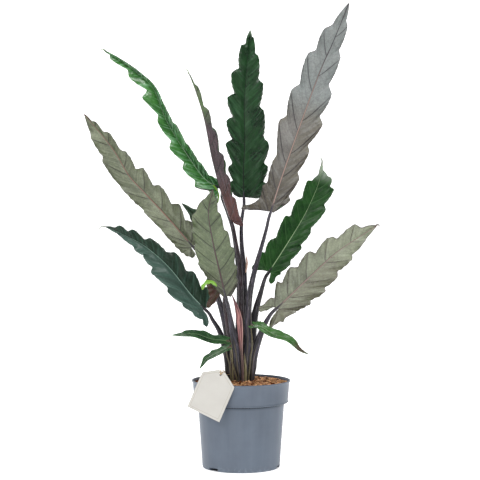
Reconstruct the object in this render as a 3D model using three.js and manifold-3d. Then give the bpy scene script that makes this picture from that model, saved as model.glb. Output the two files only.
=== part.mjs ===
// Potted Alocasia lauterbachiana: a clump of narrow arrow leaves with toothed, waved margins,
// standing in bark mulch in a blue-grey nursery pot, with a blank card label tied to one leaf stalk.
// Millimetres, +Z up, front toward -Y. The origin is the middle of the pot's underside.
import * as THREE from "three";
import { mergeVertices } from "three/addons/utils/BufferGeometryUtils.js";
import Module from "manifold-3d";

const solids = await Module();
solids.setup();

// ---- pot ----
const POT_HEIGHT = 185;
const RIM_RADIUS = 105;
const BAND_TOP_RADIUS = 102.8;
const BAND_LOW_RADIUS = 99.6;
const BAND_DEPTH = 46;
const BODY_TOP_RADIUS = 91.8;
const BODY_LOW_RADIUS = 82.4;
const POT_WALL = 1.5;
const DISC_RADIUS = 62;
const GUTTER_RADIUS = 76;
const GUTTER_HEIGHT = 7;
const DRAIN_HOLE_RADIUS = 4;
const DRAIN_HOLE_COUNT = 9;
const FOOT_NOTCH = { width: 26, height: 6.4, count: 3, firstAngle: -135 };
const POT_SEGMENTS = 48;

// ---- mulch ----
const SOIL_EDGE = 177;
const SOIL_RISE = 10;
const PLANTING_DEPTH = 36;
const GAP = 0.3;

// ---- leaves ----
const BLADE_HALF_THICKNESS = 0.4;
const RIB_UNDERSIDE = 2.2;
const RIB_TIP_UNDERSIDE = 0.5;
const JOINT_HALF_WIDTH = 3.9;
const RIB_HALF_WIDTH = 0.7;
const VEIN_LEAD = 0.55;
const COLUMNS = [0, 0.14, 0.56, 1];
const NOTCH_AT = 0.28;
const STALK_SIDES = 8;
const STALK_RADIUS = { soil: 6.2, joint: 2.7 };

// Each leaf: foot of its stalk on the mulch, points up the stalk, midrib from the joint to the tip and
// the way its upper face looks at the joint and at the tip. For each half, seen on its upper face, the
// edge of the basal lobe from the stalk outward as [past the joint, from the midrib], then the teeth
// as [share of the midrib, from the midrib], and how deep the notches cut. Fold and drop shape the halves.
const LEAVES = [
  {
    name: "leaf_01_far_left",
    foot: [-20, 8],
    stalk: [[-26, 6, 258], [-40, 2, 329], [-53, -2, 369], [-72, -7, 414]],
    rib: [[-102, -12, 469], [-151, -45, 528], [-200, -80, 583], [-229, -100, 616], [-259, -122, 668], [-317, -140, 741]],
    face: [[0, 0.9, 0.43], [0, 0.9, 0.43]],
    left: {
      lobe: [[-12, 7], [-20, 14], [-16, 24], [2, 29]],
      teeth: [[0.13, 31], [0.25, 36], [0.41, 34], [0.56, 32], [0.7, 19], [0.84, 13], [0.93, 6]],
      notch: 0.26,
    },
    right: {
      lobe: [[-20, 7], [-24, 14], [-20, 20], [-8, 28]],
      teeth: [[0.05, 33], [0.16, 34], [0.32, 34], [0.51, 35], [0.71, 37], [0.87, 26]],
      notch: 0.17,
    },
    fold: 12, ripple: 5, drop: 5,
    blade: 0x8b927a, stalkColour: 0x3b3040,
  },
  {
    name: "leaf_02_upper_left",
    foot: [-7, 9],
    stalk: [[-5, 12, 290], [-3, 12, 353], [-5, 15, 417], [-10, 18, 460], [-18, 20, 507], [-30, 20, 543], [-41, 18, 577]],
    rib: [[-48, 14, 594], [-62, 15, 600], [-79, 20, 613], [-110, 32, 655], [-160, 48, 736], [-191, 60, 809],
      [-227, 68, 842], [-298, 80, 891]],
    face: [[-0.2, -0.95, 0.1], [-0.33, -0.89, -0.25]],
    left: {
      lobe: [[-4, 14], [-8, 30], [-14, 48], [-12, 57], [-1, 48], [8, 32], [15, 20]],
      teeth: [[0.08, 35], [0.19, 29], [0.32, 28], [0.47, 20], [0.62, 34], [0.79, 20], [0.94, 7]],
      notch: 0.4,
    },
    right: {
      lobe: [[-8, 8], [-10, 14], [2, 18]],
      teeth: [[0.05, 21], [0.15, 26], [0.27, 26], [0.4, 30], [0.53, 23], [0.67, 13], [0.9, 12]],
      notch: 0.3,
    },
    fold: 46, ripple: 4, drop: -5,
    blade: 0x4b8a3f, stalkColour: 0x3a3140,
  },
  {
    name: "leaf_03_rolled",
    foot: [-2, -5],
    stalk: [[0, -4, 291], [-1, -2, 376], [-4, 0, 435], [-11, 2, 477]],
    rib: [[-21, 5, 524], [-37, 2, 569], [-60, -2, 651], [-78, -6, 739], [-95, -8, 794], [-112, -8, 838]],
    face: [[0.95, 0, 0.3], [0.95, 0, 0.3]],
    left: {
      lobe: [[-10, 8], [-17, 18], [-20, 27], [-8, 28], [4, 25]],
      teeth: [[0.12, 27], [0.27, 28], [0.42, 26], [0.57, 21], [0.72, 13], [0.88, 8]],
      notch: 0.2,
    },
    right: {
      lobe: [[-6, 9], [-10, 16], [-8, 22], [4, 23]],
      teeth: [[0.1, 27], [0.24, 28], [0.38, 27], [0.58, 22], [0.72, 13], [0.87, 8]],
      notch: 0.2,
    },
    fold: 77, ripple: 2, drop: 0,
    blade: 0x54383c, stalkColour: 0x3c333d,
  },
  {
    name: "leaf_04_upper_middle",
    foot: [7, 6],
    stalk: [[7, 8, 290], [7, 10, 364], [6, 13, 420], [1, 17, 473], [1, 20, 519]],
    rib: [[6, 22, 572], [5, 32, 621], [8, 48, 695], [7, 68, 770], [12, 90, 846], [20, 118, 937]],
    face: [[0, -0.97, 0.25], [0, -0.97, 0.25]],
    left: {
      lobe: [[-1, 10], [0, 18], [6, 26], [16, 29]],
      teeth: [[0.08, 31], [0.16, 34], [0.3, 42], [0.44, 40], [0.57, 38], [0.72, 33], [0.89, 17]],
      notch: 0.34,
    },
    right: {
      lobe: [[-2, 12], [-4, 34], [2, 44], [11, 48]],
      teeth: [[0.06, 52], [0.17, 54], [0.3, 54], [0.49, 44], [0.66, 40], [0.83, 25], [0.95, 9]],
      notch: 0.2,
    },
    fold: 14, ripple: 5, drop: 4,
    blade: 0x2d5a37, stalkColour: 0x40374a,
  },
  {
    name: "leaf_05_upper_right",
    foot: [9.5, -13],
    stalk: [[15, -15, 271], [15, -18, 328], [19, -21, 373], [28, -25, 416], [40, -29, 459], [53, -34, 506]],
    rib: [[62, -38, 542], [81, -50, 603], [120, -72, 716], [166, -95, 841], [185, -103, 883], [219, -120, 967]],
    face: [[0.05, 0.98, 0.17], [0.05, 0.98, 0.17]],
    left: {
      lobe: [[1, 6], [10, 12], [20, 19]],
      teeth: [[0.07, 33], [0.18, 37], [0.31, 38], [0.45, 45], [0.59, 41], [0.76, 29], [0.9, 16]],
      notch: 0.26,
    },
    right: {
      lobe: [[-1, 20], [-10, 42], [-13, 63], [-4, 58], [1, 46], [22, 31]],
      teeth: [[0.1, 33], [0.21, 29], [0.4, 45], [0.55, 42], [0.72, 38], [0.85, 28]],
      notch: 0.24,
    },
    fold: 12, ripple: 6, drop: 5,
    blade: 0x8a8a77, stalkColour: 0x3f3447,
  },
  {
    name: "leaf_06_right",
    foot: [22, 2],
    stalk: [[22, 2, 258], [26, 2, 305], [32, 1, 336], [41, 0, 366], [52, 0, 397]],
    rib: [[59, 0, 414], [85, 22, 452], [130, 62, 521], [148, 80, 554], [171, 98, 609], [176, 98, 646]],
    face: [[0.1, -0.9, 0.35], [0.1, -0.9, 0.35]],
    left: {
      lobe: [[-10, 20], [-19, 34], [-8, 37], [1, 35]],
      teeth: [[0.085, 39], [0.21, 36], [0.45, 36], [0.63, 31], [0.83, 26], [0.95, 4]],
      notch: 0.24,
    },
    right: {
      lobe: [[-19, 10], [-22, 18], [-12, 22], [-4, 19]],
      teeth: [[0.02, 25], [0.13, 31], [0.29, 33], [0.43, 32], [0.66, 38], [0.83, 37], [0.91, 27], [0.96, 4]],
      notch: 0.2,
    },
    fold: 14, ripple: 5, drop: 5,
    blade: 0x4c7f45, stalkColour: 0x43384c,
  },
  {
    name: "leaf_07_lower_right",
    foot: [22.5, -14],
    stalk: [[25, -16, 228], [31, -19, 254], [41, -24, 284], [51, -30, 308], [62, -35, 327]],
    rib: [[75, -40, 341], [104, -55, 370], [135, -72, 401], [196, -104, 460], [246, -130, 496], [275, -142, 516]],
    face: [[0.15, 0.87, 0.45], [0.15, 0.87, 0.45]],
    left: {
      lobe: [[-24, 8], [-37, 13], [-44, 21], [-34, 26], [-22, 28], [-18, 34], [-7, 31]],
      teeth: [[0.05, 41], [0.18, 48], [0.33, 52], [0.48, 46], [0.67, 37], [0.85, 18]],
      notch: 0.22,
    },
    right: {
      lobe: [[-10, 9], [-30, 16], [-29, 28], [-11, 25], [5, 25], [13, 19], [25, 29]],
      teeth: [[0.14, 39], [0.3, 43], [0.48, 39], [0.66, 34], [0.87, 26]],
      notch: 0.22,
    },
    fold: 12, ripple: 6, drop: 5,
    blade: 0x93997f, stalkColour: 0x43374a,
  },
  {
    name: "leaf_08_front_left",
    foot: [-3, -19],
    stalk: [[-9, -23, 247], [-16, -31, 281], [-23, -43, 320], [-28, -54, 350]],
    rib: [[-32, -62, 367], [-42, -78, 410], [-58, -108, 483], [-66, -132, 543], [-57, -148, 588]],
    face: [[0.15, 0.95, 0.3], [0.15, 0.95, 0.3]],
    left: {
      lobe: [[-4, 10], [4, 17], [14, 25]],
      teeth: [[0.12, 33], [0.25, 37], [0.42, 41], [0.58, 34], [0.77, 25], [0.92, 13]],
      notch: 0.1,
    },
    right: {
      lobe: [[2, 8], [12, 15], [24, 22]],
      teeth: [[0.18, 31], [0.32, 44], [0.48, 43], [0.64, 42], [0.76, 36], [0.88, 17]],
      notch: 0.12,
    },
    fold: 10, ripple: 3.5, drop: 5,
    blade: 0x8d9480, stalkColour: 0x3d3346,
  },
  {
    name: "leaf_09_behind_left",
    foot: [-15.5, -15],
    stalk: [[-18, -16, 252], [-25, -20, 286], [-31, -27, 324], [-35, -34, 358]],
    rib: [[-36, -40, 387], [-61, -46, 446], [-79, -50, 492], [-98, -50, 535], [-124, -45, 560]],
    face: [[0.3, -0.9, 0.15], [0.3, -0.9, 0.15]],
    left: {
      lobe: [[-14, 20], [-22, 40], [-26, 58], [-16, 58], [-8, 46], [6, 42]],
      teeth: [[0.12, 40], [0.28, 30], [0.45, 26], [0.62, 22], [0.82, 13]],
      notch: 0.2,
    },
    right: {
      lobe: [[-14, 6], [-18, 12], [-6, 20]],
      teeth: [[0.1, 24], [0.28, 26], [0.46, 24], [0.64, 22], [0.84, 12]],
      notch: 0.2,
    },
    fold: 20, ripple: 3, drop: 3,
    blade: 0x3d5137, stalkColour: 0x3d3444,
  },
  {
    name: "leaf_10_lower_left",
    foot: [-27, -6],
    stalk: [[-28, -8, 223], [-36, -12, 260], [-46, -14, 290], [-61, -15, 315]],
    rib: [[-77, -15, 337], [-103, -2, 362], [-157, 28, 425], [-209, 46, 468], [-261, 52, 495], [-292, 48, 509]],
    face: [[0.15, -0.85, 0.42], [0.15, -0.85, 0.42]],
    left: {
      lobe: [[-15, 7], [-29, 15], [-35, 26], [-28, 29], [-18, 23], [-4, 30], [10, 28]],
      teeth: [[0.1, 35], [0.24, 43], [0.47, 42], [0.61, 27], [0.7, 25], [0.9, 6]],
      notch: 0.26,
    },
    right: {
      lobe: [[1, 7], [2, 18], [8, 27]],
      teeth: [[0.11, 38], [0.28, 34], [0.47, 33], [0.67, 20], [0.81, 19], [0.91, 14]],
      notch: 0.26,
    },
    fold: 14, ripple: 4.5, drop: 5,
    blade: 0x31544a, stalkColour: 0x3b3346,
  },
  {
    name: "young_leaf_11_pale",
    foot: [-21, -27],
    stalk: [[-24, -31, 219], [-31, -37, 250]],
    rib: [[-32, -42, 272], [-57, -54, 276], [-96, -66, 288], [-144, -76, 287]],
    face: [[0.1, -0.8, 0.6], [0.1, -0.7, 0.7]],
    left: { lobe: [[-8, 4], [-11, 8], [-4, 10]], teeth: [[0.1, 11], [0.4, 13], [0.72, 9]], notch: 0.08 },
    right: { lobe: [[-8, 4], [-11, 8], [-4, 10]], teeth: [[0.14, 11], [0.44, 13], [0.76, 8]], notch: 0.08 },
    fold: 14, ripple: 1.5, drop: 2, young: true,
    blade: 0x7f9a4e, stalkColour: 0x6d7a45,
  },
  {
    name: "young_leaf_12_lowest",
    foot: [-9, -30],
    stalk: [[-16, -38, 218], [-22, -50, 240]],
    rib: [[-29, -60, 258], [-52, -70, 249], [-73, -76, 236], [-86, -80, 217]],
    face: [[-0.3, -0.7, 0.65], [-0.3, -0.7, 0.65]],
    left: { lobe: [[-6, 3], [-8, 6], [-3, 8]], teeth: [[0.12, 9], [0.42, 10.5], [0.72, 7]], notch: 0.08 },
    right: { lobe: [[-6, 3], [-8, 6], [-3, 8]], teeth: [[0.12, 9], [0.42, 10.5], [0.72, 7]], notch: 0.08 },
    fold: 14, ripple: 1.2, drop: 2, young: true,
    blade: 0x6f8f45, stalkColour: 0x6d7a45,
  },
  {
    name: "young_leaf_13_right",
    foot: [16, -27],
    stalk: [[21, -29, 240], [24, -32, 266]],
    rib: [[28, -38, 303], [52, -56, 297], [87, -72, 282], [141, -88, 248]],
    face: [[0.2, -0.8, 0.6], [0.2, -0.65, 0.75]],
    left: { lobe: [[-8, 4], [-11, 8], [-4, 10]], teeth: [[0.12, 11], [0.42, 13], [0.74, 8]], notch: 0.08 },
    right: { lobe: [[-8, 4], [-11, 8], [-4, 10]], teeth: [[0.12, 11], [0.42, 13], [0.74, 8]], notch: 0.08 },
    fold: 14, ripple: 1.5, drop: 2, young: true,
    blade: 0x6c8a44, stalkColour: 0x75803f,
  },
];
const YOUNG_STALK = { soil: 1.7, joint: 1.2 };
const YOUNG_SIDES = 6;

// ---- new growth at the middle of the clump ----
const SHEATH = {
  foot: [3, -29],
  route: [[2, -31, 222], [0, -32, 252], [-4, -32, 315], [-11, -31, 346], [-19, -30, 367]],
  halfWidth: [3, 3.4, 5, 6.6, 5.6, 3.6, 0.7],
  halfDepth: [2.4, 2.2, 2, 1.8, 1.6, 1.2, 0.6],
};
const SHOOT = {
  foot: [13, 18],
  route: [[13, 19, 250], [12, 20, 320], [11.5, 20, 370], [11.5, 20, 398]],
  halfWidth: [4.2, 4, 3.6, 3, 2.2, 0.5],
};

// ---- card label and its tie ----
const LABEL_WIDTH = 77;
const LABEL_SIDE = 78;
const LABEL_HEIGHT = 97;
const LABEL_TOP_FLAT = 16;
const LABEL_THICKNESS = 1;
const LABEL_HOLE_RADIUS = 3;
const LABEL_HOLE_DOWN = 7;
const LABEL_YAW = 17.7;
const LABEL_LEAN = 9;
const LABEL_ROLL = 22;
const LABEL_CORNER = { across: -81, up: -45.7 };
const TWINE_RADIUS = 0.75;

const toVector = (p) => new THREE.Vector3(p[0], p[1], p[2]);
const lerp = THREE.MathUtils.lerp;
const radians = THREE.MathUtils.degToRad;

function geometryOf(points, triangles) {
  const geometry = new THREE.BufferGeometry();
  geometry.setAttribute("position", new THREE.Float32BufferAttribute(points.flatMap((p) => [p.x, p.y, p.z]), 3));
  geometry.setIndex(triangles.flat());
  return geometry;
}

function signedVolume(points, triangles) {
  const cross = new THREE.Vector3();
  return triangles.reduce((sum, [a, b, c]) => sum + points[a].dot(cross.crossVectors(points[b], points[c])) / 6, 0);
}

// Closed geometry with its faces turned outward.
function closed(points, triangles) {
  const outward = signedVolume(points, triangles) > 0;
  return geometryOf(points, outward ? triangles : triangles.map(([a, b, c]) => [a, c, b]));
}

// Value of a list of [place, value] pairs at a place between them.
function along(pairs, place) {
  const next = pairs.findIndex(([at]) => at >= place);
  if (next <= 0) {
    return pairs[next < 0 ? pairs.length - 1 : 0][1];
  }
  const [a, low] = pairs[next - 1];
  const [b, high] = pairs[next];
  return lerp(low, high, (place - a) / (b - a));
}

// Points gathered so that coincident ones share an index.
class PointSet {
  constructor() {
    this.points = [];
    this.index = new Map();
  }

  add(point) {
    const key = [point.x, point.y, point.z].map((v) => v.toFixed(3)).join();
    if (!this.index.has(key)) {
      this.index.set(key, this.points.length);
      this.points.push(point);
    }
    return this.index.get(key);
  }
}

// A sheet of triangles given two faces with the same split and an edge round its border.
function thicken(points, triangles, under) {
  const sheet = triangles.filter(([a, b, c]) => a !== b && b !== c && a !== c);
  const normals = points.map(() => new THREE.Vector3());
  for (const [a, b, c] of sheet) {
    const ab = points[b].clone().sub(points[a]);
    const ac = points[c].clone().sub(points[a]);
    const normal = ab.cross(ac);
    [a, b, c].forEach((i) => normals[i].add(normal));
  }
  normals.forEach((n) => n.normalize());
  const count = points.length;
  const upper = points.map((p, i) => p.clone().addScaledVector(normals[i], BLADE_HALF_THICKNESS));
  const lower = points.map((p, i) => p.clone().addScaledVector(normals[i], -under[i]));
  const faces = sheet.flatMap(([a, b, c]) => [[a, b, c], [a + count, c + count, b + count]]);
  const edges = new Set(sheet.flatMap(([a, b, c]) => [`${a},${b}`, `${b},${c}`, `${c},${a}`]));
  for (const edge of edges) {
    const [a, b] = edge.split(",").map(Number);
    if (!edges.has(`${b},${a}`)) {
      faces.push([b, a, a + count], [b, a + count, b + count]);
    }
  }
  return closed([...upper, ...lower], faces);
}

// Frame of a leaf along its midrib: point, tangent, upper-face normal and the right-hand side.
class LeafFrame {
  constructor(leaf) {
    this.leaf = leaf;
    this.curve = new THREE.CatmullRomCurve3(leaf.rib.map(toVector));
    this.length = this.curve.getLength();
    this.half = Math.max(...leaf.left.teeth.map(([, away]) => away), ...leaf.right.teeth.map(([, away]) => away));
    this.joint = leaf.young ? YOUNG_STALK.joint + 0.5 : JOINT_HALF_WIDTH;
    this.ribUnder = leaf.young ? 1 : RIB_UNDERSIDE;
  }

  at(distance) {
    const share = THREE.MathUtils.clamp(distance / this.length, 0, 1);
    const tangent = this.curve.getTangentAt(share);
    const face = toVector(this.leaf.face[0]).lerp(toVector(this.leaf.face[1]), share);
    const normal = face.addScaledVector(tangent, -face.dot(tangent)).normalize();
    const right = tangent.clone().cross(normal);
    const point = this.curve.getPointAt(share).addScaledVector(tangent, Math.min(distance, 0));
    return { point, tangent, normal, right };
  }

  ribHalf(distance) {
    const share = Math.max(distance, 0) / this.length;
    return lerp(RIB_HALF_WIDTH, this.joint, (1 - share) ** 7) * (1 - 0.4 * share);
  }

  // Where a place on the blade lies: distance along the midrib and away from it, wave height.
  place(distance, away, sign, wave) {
    const { point, normal, right } = this.at(distance);
    const { half } = this;
    const fold = radians(this.leaf.fold);
    const rib = this.ribHalf(distance);
    const out = Math.max(away - rib, 0);
    const back = Math.max(-distance, 0) / 50;
    const rise = out * Math.sin(fold) - 0.1 * half * (out / half) ** 2 - this.leaf.drop * back ** 1.5 + wave;
    return point
      .addScaledVector(right, sign * (Math.min(away, rib) + out * Math.cos(fold)))
      .addScaledVector(normal, rise);
  }
}

// Margin of one half, from the stalk round the basal lobe and past every tooth to the tip.
function marginOf(frame, side) {
  const { length } = frame;
  const { lobe, teeth, notch } = frame.leaf[side];
  const points = lobe.map(([at, away], i) => ({ along: at, away, wave: 0.4 * Math.sin(1.9 * i + 0.5) }));
  const tip = [1, frame.ribHalf(length)];
  teeth.forEach(([station, away], i) => {
    const [next, nextAway] = teeth[i + 1] ?? tip;
    const swing = 0.8 + 0.4 * Math.sin(2.7 * i + frame.half);
    const depth = notch * (0.8 + 0.5 * station);
    const between = (share, cut, wave) => points.push({
      along: lerp(station, next, share) * length, away: lerp(away, nextAway, share) * (1 - cut), wave,
    });
    between(0, 0, swing);
    between(NOTCH_AT, depth, -swing);
    between(0.66, 0.4 * depth, 0);
  });
  points.push({ along: length, away: tip[1], wave: 0 });
  return points;
}

// One half of a blade: rows run from the midrib forward to the margin, as the side veins do.
function halfBlade(frame, side, set, triangles) {
  const sign = side === "right" ? 1 : -1;
  const roots = [];
  let rootAlong = 0;
  const rows = marginOf(frame, side).map((edge) => {
    const lead = edge.along - VEIN_LEAD * (edge.away - frame.ribHalf(edge.along));
    rootAlong = THREE.MathUtils.clamp(lead, rootAlong, frame.length);
    const rib = frame.ribHalf(rootAlong);
    const row = COLUMNS.map((share) => {
      const wave = edge.wave * frame.leaf.ripple * share ** 1.6;
      return set.add(frame.place(lerp(rootAlong, edge.along, share), lerp(rib, edge.away, share), sign, wave));
    });
    roots.push({ at: rootAlong, index: row[0] });
    return row;
  });
  for (let i = 1; i < rows.length; i += 1) {
    for (let j = 1; j < COLUMNS.length; j += 1) {
      const [a, b, c, d] = [rows[i - 1][j - 1], rows[i - 1][j], rows[i][j], rows[i][j - 1]];
      const quad = [[a, b, c], [a, c, d]];
      triangles.push(...(sign > 0 ? quad : quad.map(([p, q, r]) => [p, r, q])));
    }
  }
  return roots;
}

// Two-faced waved blade with a thicker midrib on its underside.
function bladeOf(frame) {
  const set = new PointSet();
  const triangles = [];
  const right = halfBlade(frame, "right", set, triangles);
  const left = halfBlade(frame, "left", set, triangles);
  let i = 0;
  let j = 0;
  while (i < right.length - 1 || j < left.length - 1) {
    const rightNext = right[i + 1]?.at ?? Infinity;
    const leftNext = left[j + 1]?.at ?? Infinity;
    if (rightNext <= leftNext) {
      triangles.push([left[j].index, right[i].index, right[i + 1].index]);
      i += 1;
    } else {
      triangles.push([left[j].index, right[i].index, left[j + 1].index]);
      j += 1;
    }
  }
  const under = set.points.map(() => BLADE_HALF_THICKNESS);
  for (const root of [...right, ...left]) {
    under[root.index] = lerp(frame.ribUnder, RIB_TIP_UNDERSIDE, root.at / frame.length);
  }
  return thicken(set.points, triangles, under);
}

// Solid swept through rings of elliptic sections, closed at both ends.
function sweep(rings, sides) {
  const points = [];
  let across = new THREE.Vector3(1, 0, 0);
  for (const { centre, tangent, wide, deep } of rings) {
    across = across.addScaledVector(tangent, -across.dot(tangent)).normalize();
    const other = tangent.clone().cross(across);
    for (let k = 0; k < sides; k += 1) {
      const turn = (2 * Math.PI * k) / sides;
      points.push(centre.clone()
        .addScaledVector(across, wide * Math.cos(turn))
        .addScaledVector(other, deep * Math.sin(turn)));
    }
  }
  const triangles = [];
  for (let i = 1; i < rings.length; i += 1) {
    for (let k = 0; k < sides; k += 1) {
      const [a, b] = [(i - 1) * sides + k, (i - 1) * sides + ((k + 1) % sides)];
      triangles.push([a, b, b + sides], [a, b + sides, a + sides]);
    }
  }
  const last = (rings.length - 1) * sides;
  for (let k = 2; k < sides; k += 1) {
    triangles.push([0, k, k - 1], [last, last + k - 1, last + k]);
  }
  return closed(points, triangles);
}

const UPRIGHT = new THREE.Vector3(0, 0, 1);

// Rings of a stem that stands upright in the mulch and then follows its route.
function stemRings(foot, route, count, widths, endTangent) {
  const buried = new THREE.Vector3(foot[0], foot[1], SOIL_EDGE + SOIL_RISE - PLANTING_DEPTH);
  const surface = new THREE.Vector3(foot[0], foot[1], SOIL_EDGE + SOIL_RISE + 4);
  const curve = new THREE.CatmullRomCurve3([surface, ...route]);
  const rings = [{ centre: buried, tangent: UPRIGHT.clone(), ...widths(0) }];
  for (let i = 0; i <= count; i += 1) {
    const share = i / count;
    const tangent = i === 0 ? UPRIGHT.clone() : curve.getTangentAt(share);
    if (i === count && endTangent) {
      tangent.copy(endTangent);
    }
    rings.push({ centre: curve.getPointAt(share), tangent, ...widths(share) });
  }
  return rings;
}

function stalkOf(frame) {
  const { leaf } = frame;
  const size = leaf.young ? YOUNG_STALK : STALK_RADIUS;
  const { point, tangent, normal } = frame.at(0);
  const end = point.clone().addScaledVector(tangent, -GAP).addScaledVector(normal, -0.4 * frame.ribUnder);
  const before = end.clone().addScaledVector(tangent, leaf.young ? -8 : -14);
  const widths = (share) => {
    const radius = lerp(size.soil, size.joint, share ** 0.9);
    return { wide: radius, deep: radius };
  };
  const rings = stemRings(leaf.foot, [...leaf.stalk.map(toVector), before, end], leaf.young ? 6 : 11, widths, tangent);
  return sweep(rings, leaf.young ? YOUNG_SIDES : STALK_SIDES);
}

function listed(values) {
  return (share) => along(values.map((v, i) => [i / (values.length - 1), v]), share);
}

function sheathOf() {
  const wide = listed(SHEATH.halfWidth);
  const deep = listed(SHEATH.halfDepth);
  const widths = (share) => ({ wide: wide(share), deep: deep(share) });
  return sweep(stemRings(SHEATH.foot, SHEATH.route.map(toVector), 10, widths), STALK_SIDES);
}

function shootOf() {
  const wide = listed(SHOOT.halfWidth);
  const widths = (share) => ({ wide: wide(share), deep: wide(share) });
  return sweep(stemRings(SHOOT.foot, SHOOT.route.map(toVector), 6, widths), STALK_SIDES);
}

// Solid of revolution round Z from a profile that starts and ends on the axis.
function revolve(profile, segments) {
  const points = [];
  const rows = profile.map(([radius, z]) => {
    const count = radius === 0 ? 1 : segments;
    const first = points.length;
    for (let k = 0; k < count; k += 1) {
      const turn = (2 * Math.PI * k) / segments;
      points.push(new THREE.Vector3(radius * Math.cos(turn), radius * Math.sin(turn), z));
    }
    return (k) => first + (k % count);
  });
  const triangles = [];
  for (let i = 1; i < rows.length; i += 1) {
    for (let k = 0; k < segments; k += 1) {
      const quad = [rows[i - 1](k), rows[i - 1](k + 1), rows[i](k + 1), rows[i](k)];
      const pair = [[quad[0], quad[1], quad[2]], [quad[0], quad[2], quad[3]]];
      triangles.push(...pair.filter(([a, b, c]) => a !== b && b !== c && a !== c));
    }
  }
  return { points, triangles };
}

function toSolid(geometry) {
  const bare = geometry.clone();
  bare.deleteAttribute("normal");
  bare.deleteAttribute("uv");
  const merged = mergeVertices(bare, 1e-4);
  return new solids.Manifold(new solids.Mesh({
    numProp: 3,
    vertProperties: new Float32Array(merged.attributes.position.array),
    triVerts: new Uint32Array(merged.index.array),
  }));
}

function fromSolid(solid) {
  const mesh = solid.getMesh();
  const geometry = new THREE.BufferGeometry();
  geometry.setAttribute("position", new THREE.BufferAttribute(new Float32Array(mesh.vertProperties), 3));
  geometry.setIndex([...mesh.triVerts]);
  return geometry;
}

function potOf() {
  const bandBottom = POT_HEIGHT - BAND_DEPTH;
  const profile = [
    [0, 0], [DISC_RADIUS, 0], [DISC_RADIUS + 1, GUTTER_HEIGHT], [GUTTER_RADIUS - 1, GUTTER_HEIGHT],
    [GUTTER_RADIUS, 0], [BODY_LOW_RADIUS - 2, 0], [BODY_LOW_RADIUS - 0.5, 1.2], [BODY_LOW_RADIUS, 3.5],
    [BODY_TOP_RADIUS, bandBottom - 1.5], [BAND_LOW_RADIUS - 0.4, bandBottom - 0.6], [BAND_LOW_RADIUS + 0.9, bandBottom],
    [BAND_LOW_RADIUS + 0.9, bandBottom + 1.6], [BAND_LOW_RADIUS, bandBottom + 2.4],
    [BAND_TOP_RADIUS, POT_HEIGHT - 3.6], [RIM_RADIUS, POT_HEIGHT - 2], [RIM_RADIUS, POT_HEIGHT - 0.7],
    [RIM_RADIUS - 0.8, POT_HEIGHT], [RIM_RADIUS - 2.6, POT_HEIGHT],
    [BAND_TOP_RADIUS - POT_WALL, POT_HEIGHT - 4], [BAND_LOW_RADIUS - POT_WALL, bandBottom + 2],
    [BODY_TOP_RADIUS - POT_WALL, bandBottom - 1], [BODY_LOW_RADIUS - POT_WALL, GUTTER_HEIGHT + 4],
    [GUTTER_RADIUS + 1, GUTTER_HEIGHT + 2], [DISC_RADIUS - 1, GUTTER_HEIGHT + 2], [DISC_RADIUS - 2, 2], [0, 2],
  ];
  const { points, triangles } = revolve(profile, POT_SEGMENTS);
  const cuts = [];
  for (let k = 0; k < FOOT_NOTCH.count; k += 1) {
    const turn = FOOT_NOTCH.firstAngle + (360 * k) / FOOT_NOTCH.count;
    const box = solids.Manifold.cube([30, FOOT_NOTCH.width, 2 * FOOT_NOTCH.height], true);
    cuts.push(box.translate([GUTTER_RADIUS + 14, 0, 0]).rotate([0, 0, turn]));
  }
  for (let k = 0; k < DRAIN_HOLE_COUNT; k += 1) {
    const drill = solids.Manifold.cylinder(20, DRAIN_HOLE_RADIUS, DRAIN_HOLE_RADIUS, 12);
    const turn = (360 * k) / DRAIN_HOLE_COUNT + 20;
    cuts.push(drill.translate([(DISC_RADIUS + GUTTER_RADIUS) / 2, 0, 1]).rotate([0, 0, turn]));
  }
  return fromSolid(toSolid(closed(points, triangles)).subtract(solids.Manifold.union(cuts)));
}

// Height of the mulch: a low mound with loose chips on it.
function mulchHeight(x, y) {
  const mound = SOIL_RISE * Math.max(0, 1 - Math.hypot(x, y) / 96) ** 0.8;
  const chips = Math.sin(0.21 * x + 1.3) * Math.sin(0.19 * y + 0.4) + 0.7 * Math.sin(0.43 * x - 0.37 * y);
  return SOIL_EDGE + mound + 1.3 * chips;
}

function mulchOf(stems) {
  const inner = POT_WALL + GAP;
  const bandBottom = POT_HEIGHT - BAND_DEPTH;
  const wallRadius = lerp(BAND_LOW_RADIUS, BAND_TOP_RADIUS, (SOIL_EDGE - bandBottom) / BAND_DEPTH) - inner - 0.2;
  const rings = [1, 0.9, 0.72, 0.52, 0.3].map((share) => [wallRadius * share, SOIL_EDGE]);
  const profile = [
    [0, 2 + GAP], [DISC_RADIUS - 2.6, 2 + GAP], [DISC_RADIUS - 1.6, GUTTER_HEIGHT + 2.3],
    [GUTTER_RADIUS + 0.8, GUTTER_HEIGHT + 2.3], [BODY_LOW_RADIUS - inner - 0.3, GUTTER_HEIGHT + 4.2],
    [BODY_TOP_RADIUS - inner - 0.1, bandBottom - 0.6], [BAND_LOW_RADIUS - inner - 0.3, bandBottom + 2.6],
    ...rings, [0, SOIL_EDGE],
  ];
  const { points, triangles } = revolve(profile, 32);
  points.filter((p) => p.z === SOIL_EDGE).forEach((p) => {
    p.z = mulchHeight(p.x, p.y);
  });
  const bores = stems.map(({ foot, wide, deep, sides }) => {
    const clear = GAP / Math.cos(Math.PI / sides);
    const bore = solids.Manifold.cylinder(80, 1, 1, sides).scale([wide + clear, deep + clear, 1]);
    return bore.translate([foot[0], foot[1], SOIL_EDGE + SOIL_RISE - PLANTING_DEPTH - GAP]);
  });
  return fromSolid(toSolid(closed(points, triangles)).subtract(solids.Manifold.union(bores)));
}

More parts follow.
